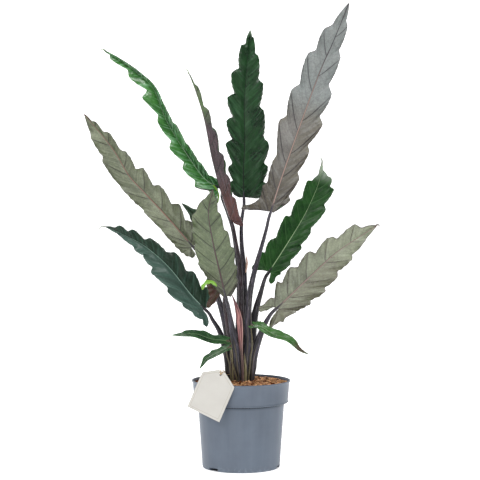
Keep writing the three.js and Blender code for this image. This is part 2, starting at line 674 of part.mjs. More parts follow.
// Plane of the card: it leans on the front left of the rim and is rolled to the right.
class LabelPlane {
  constructor() {
    const yaw = radians(LABEL_YAW);
    const lean = radians(LABEL_LEAN);
    const roll = radians(LABEL_ROLL);
    const outward = new THREE.Vector3(-Math.sin(yaw), -Math.cos(yaw), 0);
    const across = new THREE.Vector3(Math.cos(yaw), -Math.sin(yaw), 0);
    const up = UPRIGHT.clone().multiplyScalar(Math.cos(lean)).addScaledVector(outward, -Math.sin(lean));
    this.normal = outward.clone().multiplyScalar(Math.cos(lean)).addScaledVector(UPRIGHT, Math.sin(lean));
    const touch = outward.clone().multiplyScalar(RIM_RADIUS).setZ(POT_HEIGHT - 0.7);
    this.origin = touch.addScaledVector(this.normal, GAP + 0.1)
      .addScaledVector(across, LABEL_CORNER.across)
      .addScaledVector(up, LABEL_CORNER.up);
    this.x = across.clone().multiplyScalar(Math.cos(roll)).addScaledVector(up, -Math.sin(roll));
    this.y = across.clone().multiplyScalar(Math.sin(roll)).addScaledVector(up, Math.cos(roll));
  }

  point(x, y, z) {
    return this.origin.clone().addScaledVector(this.x, x).addScaledVector(this.y, y).addScaledVector(this.normal, z);
  }
}

function labelOf(plane) {
  const middle = LABEL_WIDTH / 2;
  const shape = new THREE.Shape([
    new THREE.Vector2(0, 0), new THREE.Vector2(LABEL_WIDTH, 0), new THREE.Vector2(LABEL_WIDTH, LABEL_SIDE),
    new THREE.Vector2(middle + LABEL_TOP_FLAT / 2, LABEL_HEIGHT),
    new THREE.Vector2(middle - LABEL_TOP_FLAT / 2, LABEL_HEIGHT), new THREE.Vector2(0, LABEL_SIDE),
  ]);
  const hole = new THREE.Path();
  hole.absarc(middle, LABEL_HEIGHT - LABEL_HOLE_DOWN, LABEL_HOLE_RADIUS, 0, 2 * Math.PI, true);
  shape.holes.push(hole);
  const card = new THREE.ExtrudeGeometry(shape, { depth: LABEL_THICKNESS, bevelEnabled: false, curveSegments: 14 });
  const matrix = new THREE.Matrix4().makeBasis(plane.x, plane.y, plane.normal).setPosition(plane.origin);
  card.applyMatrix4(matrix);
  card.deleteAttribute("normal");
  card.deleteAttribute("uv");
  return mergeVertices(card, 1e-4);
}

// Twine through the card's hole, over its top edge and round the nearest leaf stalk.
function twineOf(plane, foot) {
  const middle = LABEL_WIDTH / 2;
  const holeUp = LABEL_HEIGHT - LABEL_HOLE_DOWN;
  const clear = TWINE_RADIUS + 0.4;
  const height = SOIL_EDGE + SOIL_RISE + 10;
  const reach = STALK_RADIUS.soil + TWINE_RADIUS + 0.6;
  const round = [245, 275, 305, 335, 5, 35, 65, 95, 125, 155, 185, 215].map((degrees, i) => new THREE.Vector3(
    foot[0] + reach * Math.cos(radians(degrees)),
    foot[1] + reach * Math.sin(radians(degrees)),
    height + 0.4 * i,
  ));
  const path = [
    plane.point(middle - 2.2, holeUp + 3.4, LABEL_THICKNESS + clear),
    plane.point(middle - 0.4, holeUp, LABEL_THICKNESS + clear - 0.3),
    plane.point(middle, holeUp - 0.6, LABEL_THICKNESS / 2),
    plane.point(middle + 0.4, holeUp, -clear),
    plane.point(middle + 2, holeUp + 6, -clear - 4),
    ...round,
    plane.point(middle - 3.2, LABEL_HEIGHT + clear + 1, -clear - 2),
    plane.point(middle - 3.1, LABEL_HEIGHT + clear + 0.7, LABEL_THICKNESS / 2),
    plane.point(middle - 2.8, LABEL_HEIGHT - 0.4, LABEL_THICKNESS + clear + 0.3),
  ];
  const curve = new THREE.CatmullRomCurve3(path, true);
  const loop = new THREE.TubeGeometry(curve, 60, TWINE_RADIUS, 5, true);
  const tail = new THREE.CatmullRomCurve3([
    plane.point(middle - 0.3, holeUp + 0.4, LABEL_THICKNESS + clear + 0.1),
    plane.point(middle + 1.6, holeUp + 3, LABEL_THICKNESS + clear + 0.5),
    plane.point(middle + 3.6, holeUp + 8, LABEL_THICKNESS + clear + 1.2),
  ]);
  const ends = tail.getPoints(4).map((centre, i) => ({
    centre, tangent: tail.getTangent(i / 4), wide: TWINE_RADIUS, deep: TWINE_RADIUS,
  }));
  return fromSolid(toSolid(loop).add(toSolid(sweep(ends, 5))));
}

const part = new THREE.Group();
part.name = "potted_alocasia";

function addPiece(name, geometry, colour, roughness, metalness = 0) {
  const material = new THREE.MeshStandardMaterial({ name, color: colour, roughness, metalness });
  const mesh = new THREE.Mesh(geometry, material);
  mesh.name = name;
  part.add(mesh);
}

const stems = [
  { foot: SHEATH.foot, wide: SHEATH.halfWidth[0], deep: SHEATH.halfDepth[0], sides: STALK_SIDES },
  { foot: SHOOT.foot, wide: SHOOT.halfWidth[0], deep: SHOOT.halfWidth[0], sides: STALK_SIDES },
];
for (const leaf of LEAVES) {
  const frame = new LeafFrame(leaf);
  const radius = (leaf.young ? YOUNG_STALK : STALK_RADIUS).soil;
  stems.push({ foot: leaf.foot, wide: radius, deep: radius, sides: leaf.young ? YOUNG_SIDES : STALK_SIDES });
  addPiece(`${leaf.name}_blade`, bladeOf(frame), leaf.blade, 0.45);
  addPiece(`${leaf.name}_stalk`, stalkOf(frame), leaf.stalkColour, 0.5);
}
addPiece("new_leaf_sheath", sheathOf(), 0xb88a90, 0.6);
addPiece("new_shoot", shootOf(), 0x2f2a33, 0.5);
addPiece("nursery_pot", potOf(), 0x68727f, 0.42);
addPiece("bark_mulch", mulchOf(stems), 0x8a5433, 0.95);
const plane = new LabelPlane();
addPiece("card_label", labelOf(plane), 0xe9e6df, 0.6);
addPiece("label_twine", twineOf(plane, LEAVES.find(({ name }) => name === "leaf_10_lower_left").foot), 0xb59a72, 0.9);

export default part;
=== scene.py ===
"""Potted Alocasia lauterbachiana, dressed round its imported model.

Blender works in metres. The plant's own sizes are kept in millimetres, as in the part's source,
and become metres where a mesh gets its points. +Z is up and the front looks toward -Y.
"""
import logging
import math
from contextlib import contextmanager
from dataclasses import dataclass, replace
from enum import Enum
from typing import Any, Callable, ClassVar, Iterator, Sequence

import bmesh
import bpy
import numpy as np
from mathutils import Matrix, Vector, noise


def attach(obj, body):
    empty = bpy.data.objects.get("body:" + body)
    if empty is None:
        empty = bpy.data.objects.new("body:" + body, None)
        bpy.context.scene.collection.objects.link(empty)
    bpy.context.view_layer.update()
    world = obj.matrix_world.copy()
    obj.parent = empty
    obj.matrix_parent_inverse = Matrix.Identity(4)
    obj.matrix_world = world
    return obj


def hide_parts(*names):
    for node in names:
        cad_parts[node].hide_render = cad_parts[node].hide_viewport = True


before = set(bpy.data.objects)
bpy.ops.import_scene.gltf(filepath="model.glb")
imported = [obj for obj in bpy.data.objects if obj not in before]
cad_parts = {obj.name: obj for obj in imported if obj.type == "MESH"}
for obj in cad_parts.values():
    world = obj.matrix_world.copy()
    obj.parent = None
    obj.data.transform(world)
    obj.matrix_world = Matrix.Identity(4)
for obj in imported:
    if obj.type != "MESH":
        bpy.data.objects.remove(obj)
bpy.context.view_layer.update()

LOG = logging.getLogger("alocasia")
MM = 0.001
BODY = "root"
ORIGIN = (0.0, 0.0, 0.0)
Pair = tuple[float, float]
Triple = tuple[float, float, float]
Piece = bpy.types.Object
Socket = bpy.types.NodeSocket


# ---------------------------------------------------------------- small shared helpers
def lerp(low: Any, high: Any, share: Any) -> Any:
    """Value between low and high."""
    return low + (high - low) * share


def smooth_step(low: float, high: float, value: np.ndarray) -> np.ndarray:
    """Soft ramp from 0 at low to 1 at high."""
    share = np.clip((value - low) / (high - low), 0.0, 1.0)
    return share * share * (3.0 - 2.0 * share)


def unit(rows: np.ndarray) -> np.ndarray:
    """Rows of vectors at length one."""
    return rows / np.maximum(np.linalg.norm(rows, axis=-1, keepdims=True), 1e-12)


def tone(hexed: str) -> tuple[float, ...]:
    """Linear colour of a six digit screen colour."""
    parts = [int(hexed[i:i + 2], 16) / 255.0 for i in (0, 2, 4)]
    return (*(p / 12.92 if p <= 0.04045 else ((p + 0.055) / 1.055) ** 2.4 for p in parts), 1.0)


def ripple_at(points: np.ndarray, size: float, seed: float = 0.0) -> np.ndarray:
    """Smooth noise between about -1 and 1 at each point, with lumps of a size in millimetres."""
    return np.array([noise.noise(Vector(p) / size + Vector((seed, 1.7 * seed, -seed))) for p in points])


def only(piece: Piece) -> None:
    """Selects one piece alone and makes it the active one.

    Args:
        piece: The object.
    """
    bpy.ops.object.select_all(action="DESELECT")
    piece.select_set(True)
    bpy.context.view_layer.objects.active = piece


@contextmanager
def editing(piece: Piece, mode: str = "VERT") -> Iterator[bmesh.types.BMesh]:
    """Edit mode on one piece, with nothing selected at its start.

    Args:
        piece: The mesh object to edit.
        mode: What is selected: VERT, EDGE or FACE.

    Yields:
        The edit mesh.
    """
    only(piece)
    bpy.ops.object.mode_set(mode="EDIT")
    bpy.ops.mesh.select_mode(type=mode)
    bpy.ops.mesh.select_all(action="DESELECT")
    yield bmesh.from_edit_mesh(piece.data)
    bpy.ops.object.mode_set(mode="OBJECT")


def add_primitive(name: str, operator: Callable[..., Any], location: Triple = ORIGIN, **settings: Any) -> Piece:
    """Adds a primitive with nothing else selected.

    Args:
        name: Name of the new piece and its mesh.
        operator: The bpy.ops.mesh call that adds it.
        location: Where it is added, in metres.
        settings: What else the call is given.

    Returns:
        The new object.
    """
    bpy.ops.object.select_all(action="DESELECT")
    operator(location=location, **settings)
    piece = bpy.context.object
    piece.name = piece.data.name = name
    return piece


def rows_of(items: Any, key: str, kind: type = float) -> np.ndarray:
    """Reads a vector of each item.

    Args:
        items: A mesh's points or an attribute's data.
        key: Name of the vector.
        kind: Number type of the result.

    Returns:
        One row for each item.
    """
    rows = np.empty(len(items) * 3, kind)
    items.foreach_get(key, rows)
    return rows.reshape(-1, 3)


def points_of(piece: Piece) -> np.ndarray:
    """The mesh points of a piece, in its own units."""
    return rows_of(piece.data.vertices, "co")


def set_points(piece: Piece, millimetres: np.ndarray) -> None:
    """Moves the mesh points of a piece to places given in millimetres."""
    piece.data.vertices.foreach_set("co", (millimetres * MM).ravel())
    piece.data.update()


def add_grid(name: str, columns: int, rows: int) -> tuple[Piece, np.ndarray, np.ndarray]:
    """A flat grid.

    Args:
        name: Name of the piece.
        columns: Faces across.
        rows: Faces up.

    Returns:
        The new object, and how far across and how far up each of its points lies, from 0 to 1.
    """
    grid = add_primitive(name, bpy.ops.mesh.primitive_grid_add, x_subdivisions=columns, y_subdivisions=rows, size=2.0)
    x, y, _ = points_of(grid).T
    return grid, (x + 1.0) / 2.0, (y + 1.0) / 2.0


def note(piece: Piece, name: str, values: np.ndarray) -> None:
    """Keeps a vector for each mesh point under a name that the material reads."""
    layer = piece.data.attributes.new(name, "FLOAT_VECTOR", "POINT")
    layer.data.foreach_set("vector", values.astype(np.float32).ravel())


def with_modifier(piece: Piece, kind: str, **settings: Any) -> None:
    """Adds a modifier to a piece and applies it.

    Args:
        piece: The mesh object.
        kind: The modifier's type.
        settings: Its values.
    """
    only(piece)
    modifier = piece.modifiers.new(kind, kind)
    for key, value in settings.items():
        setattr(modifier, key, value)
    bpy.ops.object.modifier_apply(modifier=modifier.name)


def cut_away(piece: Piece, tool: Piece) -> None:
    """Cuts a tool's shape out of a piece and uses the tool up."""
    with_modifier(piece, "BOOLEAN", object=tool, operation="DIFFERENCE", solver="EXACT")
    bpy.data.objects.remove(tool, do_unlink=True)


def shade(piece: Piece, degrees: float) -> None:
    """Smooth shading that keeps edges sharper than an angle."""
    only(piece)
    bpy.ops.object.shade_smooth_by_angle(angle=math.radians(degrees))


def join(name: str, pieces: Sequence[Piece]) -> Piece:
    """Joins pieces into the first and names it.

    Args:
        name: Name of the joined piece.
        pieces: The objects to join.

    Returns:
        The joined object.
    """
    only(pieces[0])
    for piece in pieces[1:]:
        piece.select_set(True)
    bpy.ops.object.join()
    pieces[0].name = pieces[0].data.name = name
    return pieces[0]


def copies(source: Piece, places: Sequence[np.ndarray], name: str) -> Piece:
    """Repeats a shape at many places and joins the copies to one piece.

    Args:
        source: Shape that is copied. It is used up.
        places: For each copy, the points of the source where they shall lie, in millimetres.
        name: Name of the joined piece.

    Returns:
        The joined object.
    """
    made = []
    for place in places:
        twin = source.copy()
        twin.data = source.data.copy()
        bpy.context.collection.objects.link(twin)
        set_points(twin, place)
        made.append(twin)
    bpy.data.objects.remove(source, do_unlink=True)
    return join(name, made)


def dress(piece: Piece, *finishes: "Finish") -> None:
    """Fills the material slots of a piece in order.

    Args:
        piece: The modelled object.
        finishes: One finish for each slot.
    """
    piece.data.materials.clear()
    for finish in finishes:
        piece.data.materials.append(finish.material())


def hand_over(piece: Piece, degrees: float, slot: str, *nodes: str) -> None:
    """Smooths a dressed piece and lets it ride on the plant and stand for its CAD nodes.

    Args:
        piece: The dressed object.
        degrees: Edges sharper than this stay sharp.
        slot: The record's material slot; not used.
        nodes: CAD nodes that it stands for.
    """
    shade(piece, degrees)
    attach(piece, BODY)
    if nodes:
        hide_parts(*nodes)
    LOG.info("%s: %d faces", piece.name, len(piece.data.polygons))


# ---------------------------------------------------------------- curves, rods and turned bodies
class Route:
    """Smooth curve through points, followed by its length in millimetres."""

    def __init__(self, points: Sequence[Sequence[float]], closed: bool = False, per_span: int = 60) -> None:
        """Samples the curve.

        Args:
            points: Places that the curve passes, in millimetres.
            closed: Whether it returns to its first point.
            per_span: Samples between neighbouring points.
        """
        knots = np.array(points, float)
        spans = len(knots) if closed else len(knots) - 1
        share = np.arange(per_span) / per_span
        parts = [self._span(self._neighbours(knots, i, closed), share) for i in range(spans)]
        self.samples = np.vstack([*parts, knots[:1] if closed else knots[-1:]])
        steps = np.linalg.norm(np.diff(self.samples, axis=0), axis=1)
        self.lengths = np.concatenate([[0.0], np.cumsum(steps)])
        self.length = float(self.lengths[-1])
        self.tangents = unit(np.gradient(self.samples, self.lengths, axis=0))

    @staticmethod
    def _neighbours(knots: np.ndarray, i: int, closed: bool) -> list[np.ndarray]:
        """The four points that shape a span.

        Args:
            knots: Points that the curve passes.
            i: Number of the span.
            closed: Whether the curve returns to its first point.

        Returns:
            The points before, at both ends of, and after the span.
        """
        count = len(knots)
        if closed:
            return [knots[(i + k) % count] for k in (-1, 0, 1, 2)]
        before = knots[i - 1] if i > 0 else 2 * knots[0] - knots[1]
        after = knots[i + 2] if i + 2 < count else 2 * knots[-1] - knots[-2]
        return [before, knots[i], knots[i + 1], after]

    @staticmethod
    def _span(four: list[np.ndarray], share: np.ndarray) -> np.ndarray:
        """Centripetal curve between the two middle points.

        Args:
            four: The points before, at both ends of, and after the span.
            share: Places on the span, from 0 to 1.

        Returns:
            One point for each place.
        """
        p0, p1, p2, p3 = four
        d0, d1, d2 = (max(math.dist(a, b), 1e-6) ** 0.5 for a, b in ((p0, p1), (p1, p2), (p2, p3)))
        t1 = ((p1 - p0) / d0 - (p2 - p0) / (d0 + d1) + (p2 - p1) / d1) * d1
        t2 = ((p2 - p1) / d1 - (p3 - p1) / (d1 + d2) + (p3 - p2) / d2) * d1
        w = share[:, None]
        return p1 + t1 * w + (-3 * p1 + 3 * p2 - 2 * t1 - t2) * w**2 + (2 * p1 - 2 * p2 + t1 + t2) * w**3

    def _read(self, rows: np.ndarray, distance: np.ndarray) -> np.ndarray:
        """Values of sampled rows at distances along the curve."""
        place = np.clip(distance, 0.0, self.length)
        return np.stack([np.interp(place, self.lengths, rows[:, k]) for k in range(rows.shape[1])], axis=-1)

    def point(self, distance: np.ndarray) -> np.ndarray:
        """Points at distances from the start."""
        return self._read(self.samples, distance)

    def tangent(self, distance: np.ndarray) -> np.ndarray:
        """Directions at distances from the start."""
        return unit(self._read(self.tangents, distance))


def across_rings(tangents: np.ndarray, first: Sequence[float]) -> np.ndarray:
    """Sideways directions that turn as little as they can along a stem.

    Args:
        tangents: Direction of the stem at each ring.
        first: Sideways direction at the first ring.

    Returns:
        One direction square to the stem for each ring.
    """
    across = np.array(first, float)
    rows = []
    for tangent in tangents:
        across = across - tangent * float(across @ tangent)
        across = across / np.linalg.norm(across)
        rows.append(across.copy())
    return np.array(rows)


class Rod:
    """Closed round rod: first straight with a radius and length of one, then laid along a row of centres.

    share, turn and part are the place along, the angle round and the share of the radius of each
    mesh point, and ring is the number of its ring.
    """

    def __init__(self, name: str, sides: int, rings: int) -> None:
        """Models the straight rod.

        Args:
            name: Name of the piece.
            sides: Faces round it.
            rings: Rings of points, both ends among them.
        """
        self.piece = add_primitive(name, bpy.ops.mesh.primitive_cylinder_add, vertices=sides, radius=1.0, depth=1.0,
                                   end_fill_type="TRIFAN")
        with editing(self.piece, "EDGE") as shape:
            for edge in shape.edges:
                edge.select_set(abs(edge.verts[0].co.z - edge.verts[1].co.z) > 0.5)
            bmesh.update_edit_mesh(self.piece.data)
            bpy.ops.mesh.subdivide(number_cuts=rings - 2)
            bpy.ops.mesh.select_all(action="SELECT")
            bpy.ops.transform.translate(value=(0, 0, 0.5))
        x, y, z = points_of(self.piece).T
        self.share = np.clip(z, 0.0, 1.0)
        self.ring = np.rint(self.share * (rings - 1)).astype(int)
        self.turn, self.part = np.arctan2(y, x), np.hypot(x, y)

    def around(self, wide: Any = 1.0, deep: Any = None) -> np.ndarray:
        """Sideways offsets of an oval section from its half width and half depth, by default a round one."""
        deep = wide if deep is None else deep
        return np.column_stack([self.part * wide * np.cos(self.turn), self.part * deep * np.sin(self.turn)])

    def lay(self, centres: np.ndarray, tangents: np.ndarray, offsets: np.ndarray,
            first: Sequence[float] = (1.0, 0.0, 0.0)) -> None:
        """Lays the rod along a row of centres.

        Args:
            centres: Middle of each ring, in millimetres.
            tangents: Direction at each ring.
            offsets: The two sideways offsets of each point.
            first: Sideways direction at the first ring.
        """
        across = across_rings(tangents, first)
        other = np.cross(tangents, across)
        set_points(self.piece, centres[self.ring] + across[self.ring] * offsets[:, :1]
                   + other[self.ring] * offsets[:, 1:])

    def mark(self, height: Any, lip: Any, share: np.ndarray, along: np.ndarray, wide: float = 1.0) -> None:
        """Keeps on the rod's points what a stalk finish reads.

        Args:
            height: Height over the mulch, in millimetres.
            lip: How much of the pale lip shows.
            share: Share along the stem.
            along: Distance along the stem, in millimetres.
            wide: Width of the round on which the streaks lie, to its depth of one.
        """
        note(self.piece, "stem_marks", np.column_stack(np.broadcast_arrays(height, lip, share)))
        note(self.piece, "stem_round", np.column_stack([self.around(wide, 1.0), along]))


def turned_body(name: str, rings: Sequence[Pair], sides: int) -> Piece:
    """A body round the upright axis: a disc drawn out from ring to ring.

    Args:
        name: Name of the piece.
        rings: Radius and height of each ring in millimetres.
        sides: Points round each ring.

    Returns:
        The new object.
    """
    body = add_primitive(name, bpy.ops.mesh.primitive_circle_add, (0.0, 0.0, rings[0][1] * MM), vertices=sides,
                         radius=rings[0][0] * MM, fill_type="NGON")
    bpy.ops.object.transform_apply(location=True, rotation=False, scale=False)
    with editing(body) as shape:
        for vertex in shape.verts:
            vertex.select_set(True)
        shape.select_flush(True)
        bmesh.update_edit_mesh(body.data)
        for (radius, height), (wider, higher) in zip(rings, rings[1:]):
            bpy.ops.mesh.extrude_region_move(TRANSFORM_OT_translate={"value": (0, 0, (higher - height) * MM)})
            bpy.ops.transform.resize(value=(wider / radius, wider / radius, 1.0))
        bpy.ops.mesh.select_all(action="SELECT")
        bpy.ops.mesh.normals_make_consistent(inside=False)
        bpy.ops.mesh.select_all(action="DESELECT")
    with editing(body, "EDGE") as shape:
        open_edges = [edge for edge in shape.edges if edge.is_boundary]
        for edge in open_edges:
            edge.select_set(True)
        bmesh.update_edit_mesh(body.data)
        if open_edges:
            bpy.ops.mesh.edge_face_add()
    return body


# ---------------------------------------------------------------- shader building blocks
class Graph:
    """Short way to add and join the nodes of one shader tree."""

    def __init__(self, tree: bpy.types.NodeTree) -> None:
        """Keeps the tree that nodes are added to."""
        self.tree = tree

    def feed(self, node: bpy.types.Node, inputs: dict[str | int, Any]) -> bpy.types.Node:
        """Fills inputs of a node.

        Args:
            node: The node.
            inputs: For each input, a value or the output socket that feeds it.

        Returns:
            The same node.
        """
        for key, value in inputs.items():
            if isinstance(value, Socket):
                self.tree.links.new(value, node.inputs[key])
            else:
                node.inputs[key].default_value = value
        return node

    def add(self, kind: str, inputs: dict[str | int, Any] | None = None, **settings: Any) -> bpy.types.Node:
        """Adds a node.

        Args:
            kind: The node's type.
            inputs: For each input, a value or the output socket that feeds it.
            settings: Other properties of the node.

        Returns:
            The new node.
        """
        node = self.tree.nodes.new(kind)
        for key, value in settings.items():
            setattr(node, key, value)
        return self.feed(node, inputs or {})

    def math(self, operation: str, *values: Any, clamp: bool = False) -> Socket:
        """Result of a Math node."""
        return self.add("ShaderNodeMath", dict(enumerate(values)), operation=operation, use_clamp=clamp).outputs[0]

    def times(self, first: Any, second: Any, clamp: bool = False) -> Socket:
        """Product of two values."""
        return self.math("MULTIPLY", first, second, clamp=clamp)

    def plus(self, first: Any, second: Any) -> Socket:
        """Sum of two values."""
        return self.math("ADD", first, second)

    def minus(self, first: Any, second: Any) -> Socket:
        """The first value less the second."""
        return self.math("SUBTRACT", first, second)

    def reach(self, x: Socket, y: Socket) -> Socket:
        """Distance from the upright axis."""
        return self.math("SQRT", self.plus(self.times(x, x), self.times(y, y)))

    def mix(self, share: Any, low: Any, high: Any) -> Socket:
        """Mixture of two colours."""
        return self.add("ShaderNodeMix", {0: share, 6: low, 7: high}, data_type="RGBA").outputs[2]

    def over(self, colour: Any, *layers: tuple[Any, str]) -> Socket:
        """Lays tones over a colour.

        Args:
            colour: The colour under them.
            layers: Share and tone of each layer, the lowest first.

        Returns:
            The covered colour.
        """
        for share, hexed in layers:
            colour = self.mix(share, colour, tone(hexed))
        return colour

    def ramp(self, value: Any, low: Any, high: Any, to_low: float = 0.0, to_high: float = 1.0) -> Socket:
        """Soft ramp of a value between two bounds."""
        inputs = {"Value": value, "From Min": low, "From Max": high, "To Min": to_low, "To Max": to_high}
        return self.add("ShaderNodeMapRange", inputs, interpolation_type="SMOOTHSTEP").outputs[0]

    def noise(self, vector: Any, scale: Any, detail: float = 3.0, roughness: float = 0.55) -> Socket:
        """Noise value at a place."""
        inputs = {"Vector": vector, "Scale": scale, "Detail": detail, "Roughness": roughness}
        return self.add("ShaderNodeTexNoise", inputs).outputs[0]

    def split(self, vector: Any) -> list[Socket]:
        """The three parts of a vector."""
        return list(self.add("ShaderNodeSeparateXYZ", {0: vector}).outputs)

    def combine(self, *parts: Any) -> Socket:
        """The vector with given parts."""
        return self.add("ShaderNodeCombineXYZ", dict(enumerate(parts))).outputs[0]

    def attribute(self, name: str) -> Socket:
        """A vector that is kept for each mesh point."""
        return self.add("ShaderNodeAttribute", attribute_name=name, attribute_type="GEOMETRY").outputs["Vector"]

    def place(self) -> Socket:
        """The point's place on the object, in metres."""
        return self.add("ShaderNodeTexCoord").outputs["Object"]


class Effect(Enum):
    """Shader effects that several materials share."""

    TONE_DRIFT = "tone_drift"
    VEIN_LINES = "vein_lines"
    LONG_STREAKS = "long_streaks"
    FINE_GRAIN = "fine_grain"


class EffectShelf:
    """Builds each shared effect once, as a node group, and hands it out."""

    SOCKETS: ClassVar[dict[str, str]] = {"value": "NodeSocketFloat", "vector": "NodeSocketVector",
                                         "colour": "NodeSocketColor"}

    def __init__(self) -> None:
        """Starts with no group built."""
        self.built: dict[Effect, bpy.types.NodeTree] = {}
        self.builders: dict[Effect, Callable[[], bpy.types.NodeTree]] = {
            Effect.TONE_DRIFT: self._tone_drift, Effect.VEIN_LINES: self._vein_lines,
            Effect.LONG_STREAKS: self._long_streaks, Effect.FINE_GRAIN: self._fine_grain}

    def put(self, graph: Graph, effect: Effect, inputs: dict[str, Any]) -> Any:
        """Places an effect in a material.

        Args:
            graph: The material's graph.
            effect: Which effect.
            inputs: Its values or feeding sockets.

        Returns:
            Its outputs, read by their names.
        """
        if effect not in self.built:
            self.built[effect] = self.builders[effect]()
        return graph.add("ShaderNodeGroup", inputs, node_tree=self.built[effect]).outputs

    def drift(self, graph: Graph, place: Socket, first: str, second: str, scale: float, contrast: float) -> Any:
        """Places the drift between two tones in a material."""
        return self.put(graph, Effect.TONE_DRIFT, {"Place": place, "First": tone(first), "Second": tone(second),
                                                   "Scale": scale, "Contrast": contrast})

    def streaks(self, graph: Graph, around: Socket, fineness: float, stretch: float, sharpness: float) -> Any:
        """Places the long streaks in a material."""
        return self.put(graph, Effect.LONG_STREAKS, {"Round": around, "Fineness": fineness, "Stretch": stretch,
                                                     "Sharpness": sharpness})

    def grain(self, graph: Graph, place: Socket, scale: float, specks: float) -> Any:
        """Places the fine grain in a material."""
        return self.put(graph, Effect.FINE_GRAIN, {"Place": place, "Scale": scale, "Specks": specks})

    def _group(self, effect: Effect, inputs: Sequence[tuple[str, str, float | None]],
               outputs: Sequence[tuple[str, str]]) -> tuple[Graph, Any, bpy.types.Node]:
        """Makes an empty group with its sockets.

        Args:
            effect: The effect that it is for.
            inputs: Name, kind and default of each input.
            outputs: Name and kind of each output.

        Returns:
            The group's graph, its inputs and its output node.
        """
        tree = bpy.data.node_groups.new(effect.value, "ShaderNodeTree")
        for label, kind, default in inputs:
            socket = tree.interface.new_socket(label, in_out="INPUT", socket_type=self.SOCKETS[kind])
            if default is not None:
                socket.default_value = default
        for label, kind in outputs:
            tree.interface.new_socket(label, in_out="OUTPUT", socket_type=self.SOCKETS[kind])
        graph = Graph(tree)
        return graph, graph.add("NodeGroupInput").outputs, graph.add("NodeGroupOutput")

    def _tone_drift(self) -> bpy.types.NodeTree:
        """Two tones that drift into each other in soft patches.

        Returns:
            The group.
        """
        graph, given, out = self._group(
            Effect.TONE_DRIFT,
            [("Place", "vector", None), ("First", "colour", None), ("Second", "colour", None),
             ("Scale", "value", 20.0), ("Contrast", "value", 0.5)],
            [("Colour", "colour"), ("Mask", "value")])
        patch = graph.noise(given["Place"], given["Scale"], 4.0, 0.6)
        half = graph.minus(0.3, graph.times(given["Contrast"], 0.25))
        mask = graph.ramp(patch, graph.minus(0.5, half), graph.plus(0.5, half))
        graph.feed(out, {"Colour": graph.mix(mask, given["First"], given["Second"]), "Mask": mask})
        return graph.tree

    def _vein_lines(self) -> bpy.types.NodeTree:
        """Midrib, side veins, fine net, painted shade and painted glint masks of a leaf, from its mesh's distances.

        Returns:
            The group.
        """
        graph, given, out = self._group(
            Effect.VEIN_LINES,
            [("Distances", "vector", None), ("Place", "vector", None), ("Width", "value", 1.0),
             ("Net Size", "value", 2.6), ("Rib Width", "value", 1.5), ("Along", "value", 0.0),
             ("Glint Row", "value", 0.12), ("Glint Side", "value", 0.025)],
            [("Vein", "value"), ("Beside", "value"), ("Fine", "value"), ("Rib", "value"), ("Rib Side Shade", "value"),
             ("Left", "value"), ("Net", "value"), ("Crumple", "value"), ("Glint", "value"), ("Height", "value")])
        vein_gap, fine_gap, turned = graph.split(given["Distances"])
        rib_gap, rib_width = graph.math("ABSOLUTE", turned), given["Rib Width"]
        vein = graph.ramp(vein_gap, 0.35, given["Width"], 1.0, 0.0)
        fine = graph.ramp(fine_gap, 0.0, graph.times(given["Width"], 0.8), 1.0, 0.0)
        rib = graph.ramp(rib_gap, graph.times(rib_width, 0.6), rib_width, 1.0, 0.0)
        # Painted shade: a dark band along both flanks of the raised midrib.
        rib_side_shade = graph.minus(graph.ramp(rib_gap, rib_width, graph.times(rib_width, 1.8), 1.0, 0.0), rib)
        in_millimetres = graph.add("ShaderNodeVectorMath", {0: given["Place"], 1: (1000.0, 1000.0, 1000.0)},
                                   operation="MULTIPLY").outputs[0]
        cells = graph.add("ShaderNodeTexVoronoi", {
            "Vector": in_millimetres, "Scale": graph.math("DIVIDE", 1.0, given["Net Size"]), "Randomness": 0.9},
            feature="DISTANCE_TO_EDGE").outputs["Distance"]
        net = graph.ramp(cells, 0.02, 0.09, 1.0, 0.0)
        crumple = graph.noise(given["Place"], 130.0, 4.0, 0.65)
        # Noise stretched along the side veins, for the painted glints.
        glint_place = graph.combine(graph.times(graph.minus(given["Along"], rib_gap), given["Glint Row"]),
                               graph.times(turned, given["Glint Side"]))
        height = vein
        for mask, share in ((fine, 0.5), (net, 0.25), (crumple, 3.0)):
            height = graph.plus(height, graph.times(mask, share))
        # Beside darkens towards the side veins: partly the leaf's own darker tone there, partly painted shade of the
        # quilted panels.
        graph.feed(out, {
            "Vein": vein, "Beside": graph.math("POWER", graph.ramp(vein_gap, -6.0, 12.0, 1.0, 0.0), 2.5),
            "Fine": fine, "Rib": rib, "Rib Side Shade": rib_side_shade, "Left": graph.ramp(turned, -2.0, 0.0, 1.0, 0.0),
            "Net": net, "Crumple": crumple, "Glint": graph.noise(glint_place, 1.0, 3.0, 0.6), "Height": height})
        return graph.tree

    def _long_streaks(self) -> bpy.types.NodeTree:
        """Streaks that run the length of a stem or a moulded wall.

        Returns:
            The group.
        """
        graph, given, out = self._group(
            Effect.LONG_STREAKS,
            [("Round", "vector", None), ("Fineness", "value", 6.0), ("Stretch", "value", 0.1),
             ("Sharpness", "value", 0.5)],
            [("Mask", "value"), ("Height", "value")])
        x, y, z = graph.split(given["Round"])
        lines = graph.noise(graph.combine(x, y, graph.times(z, given["Stretch"])), given["Fineness"], 5.0, 0.62)
        span = graph.times(graph.minus(1.0, given["Sharpness"]), 0.3)
        graph.feed(out, {"Mask": graph.ramp(lines, graph.minus(0.53, span), graph.plus(0.55, span)),
                         "Height": lines})
        return graph.tree

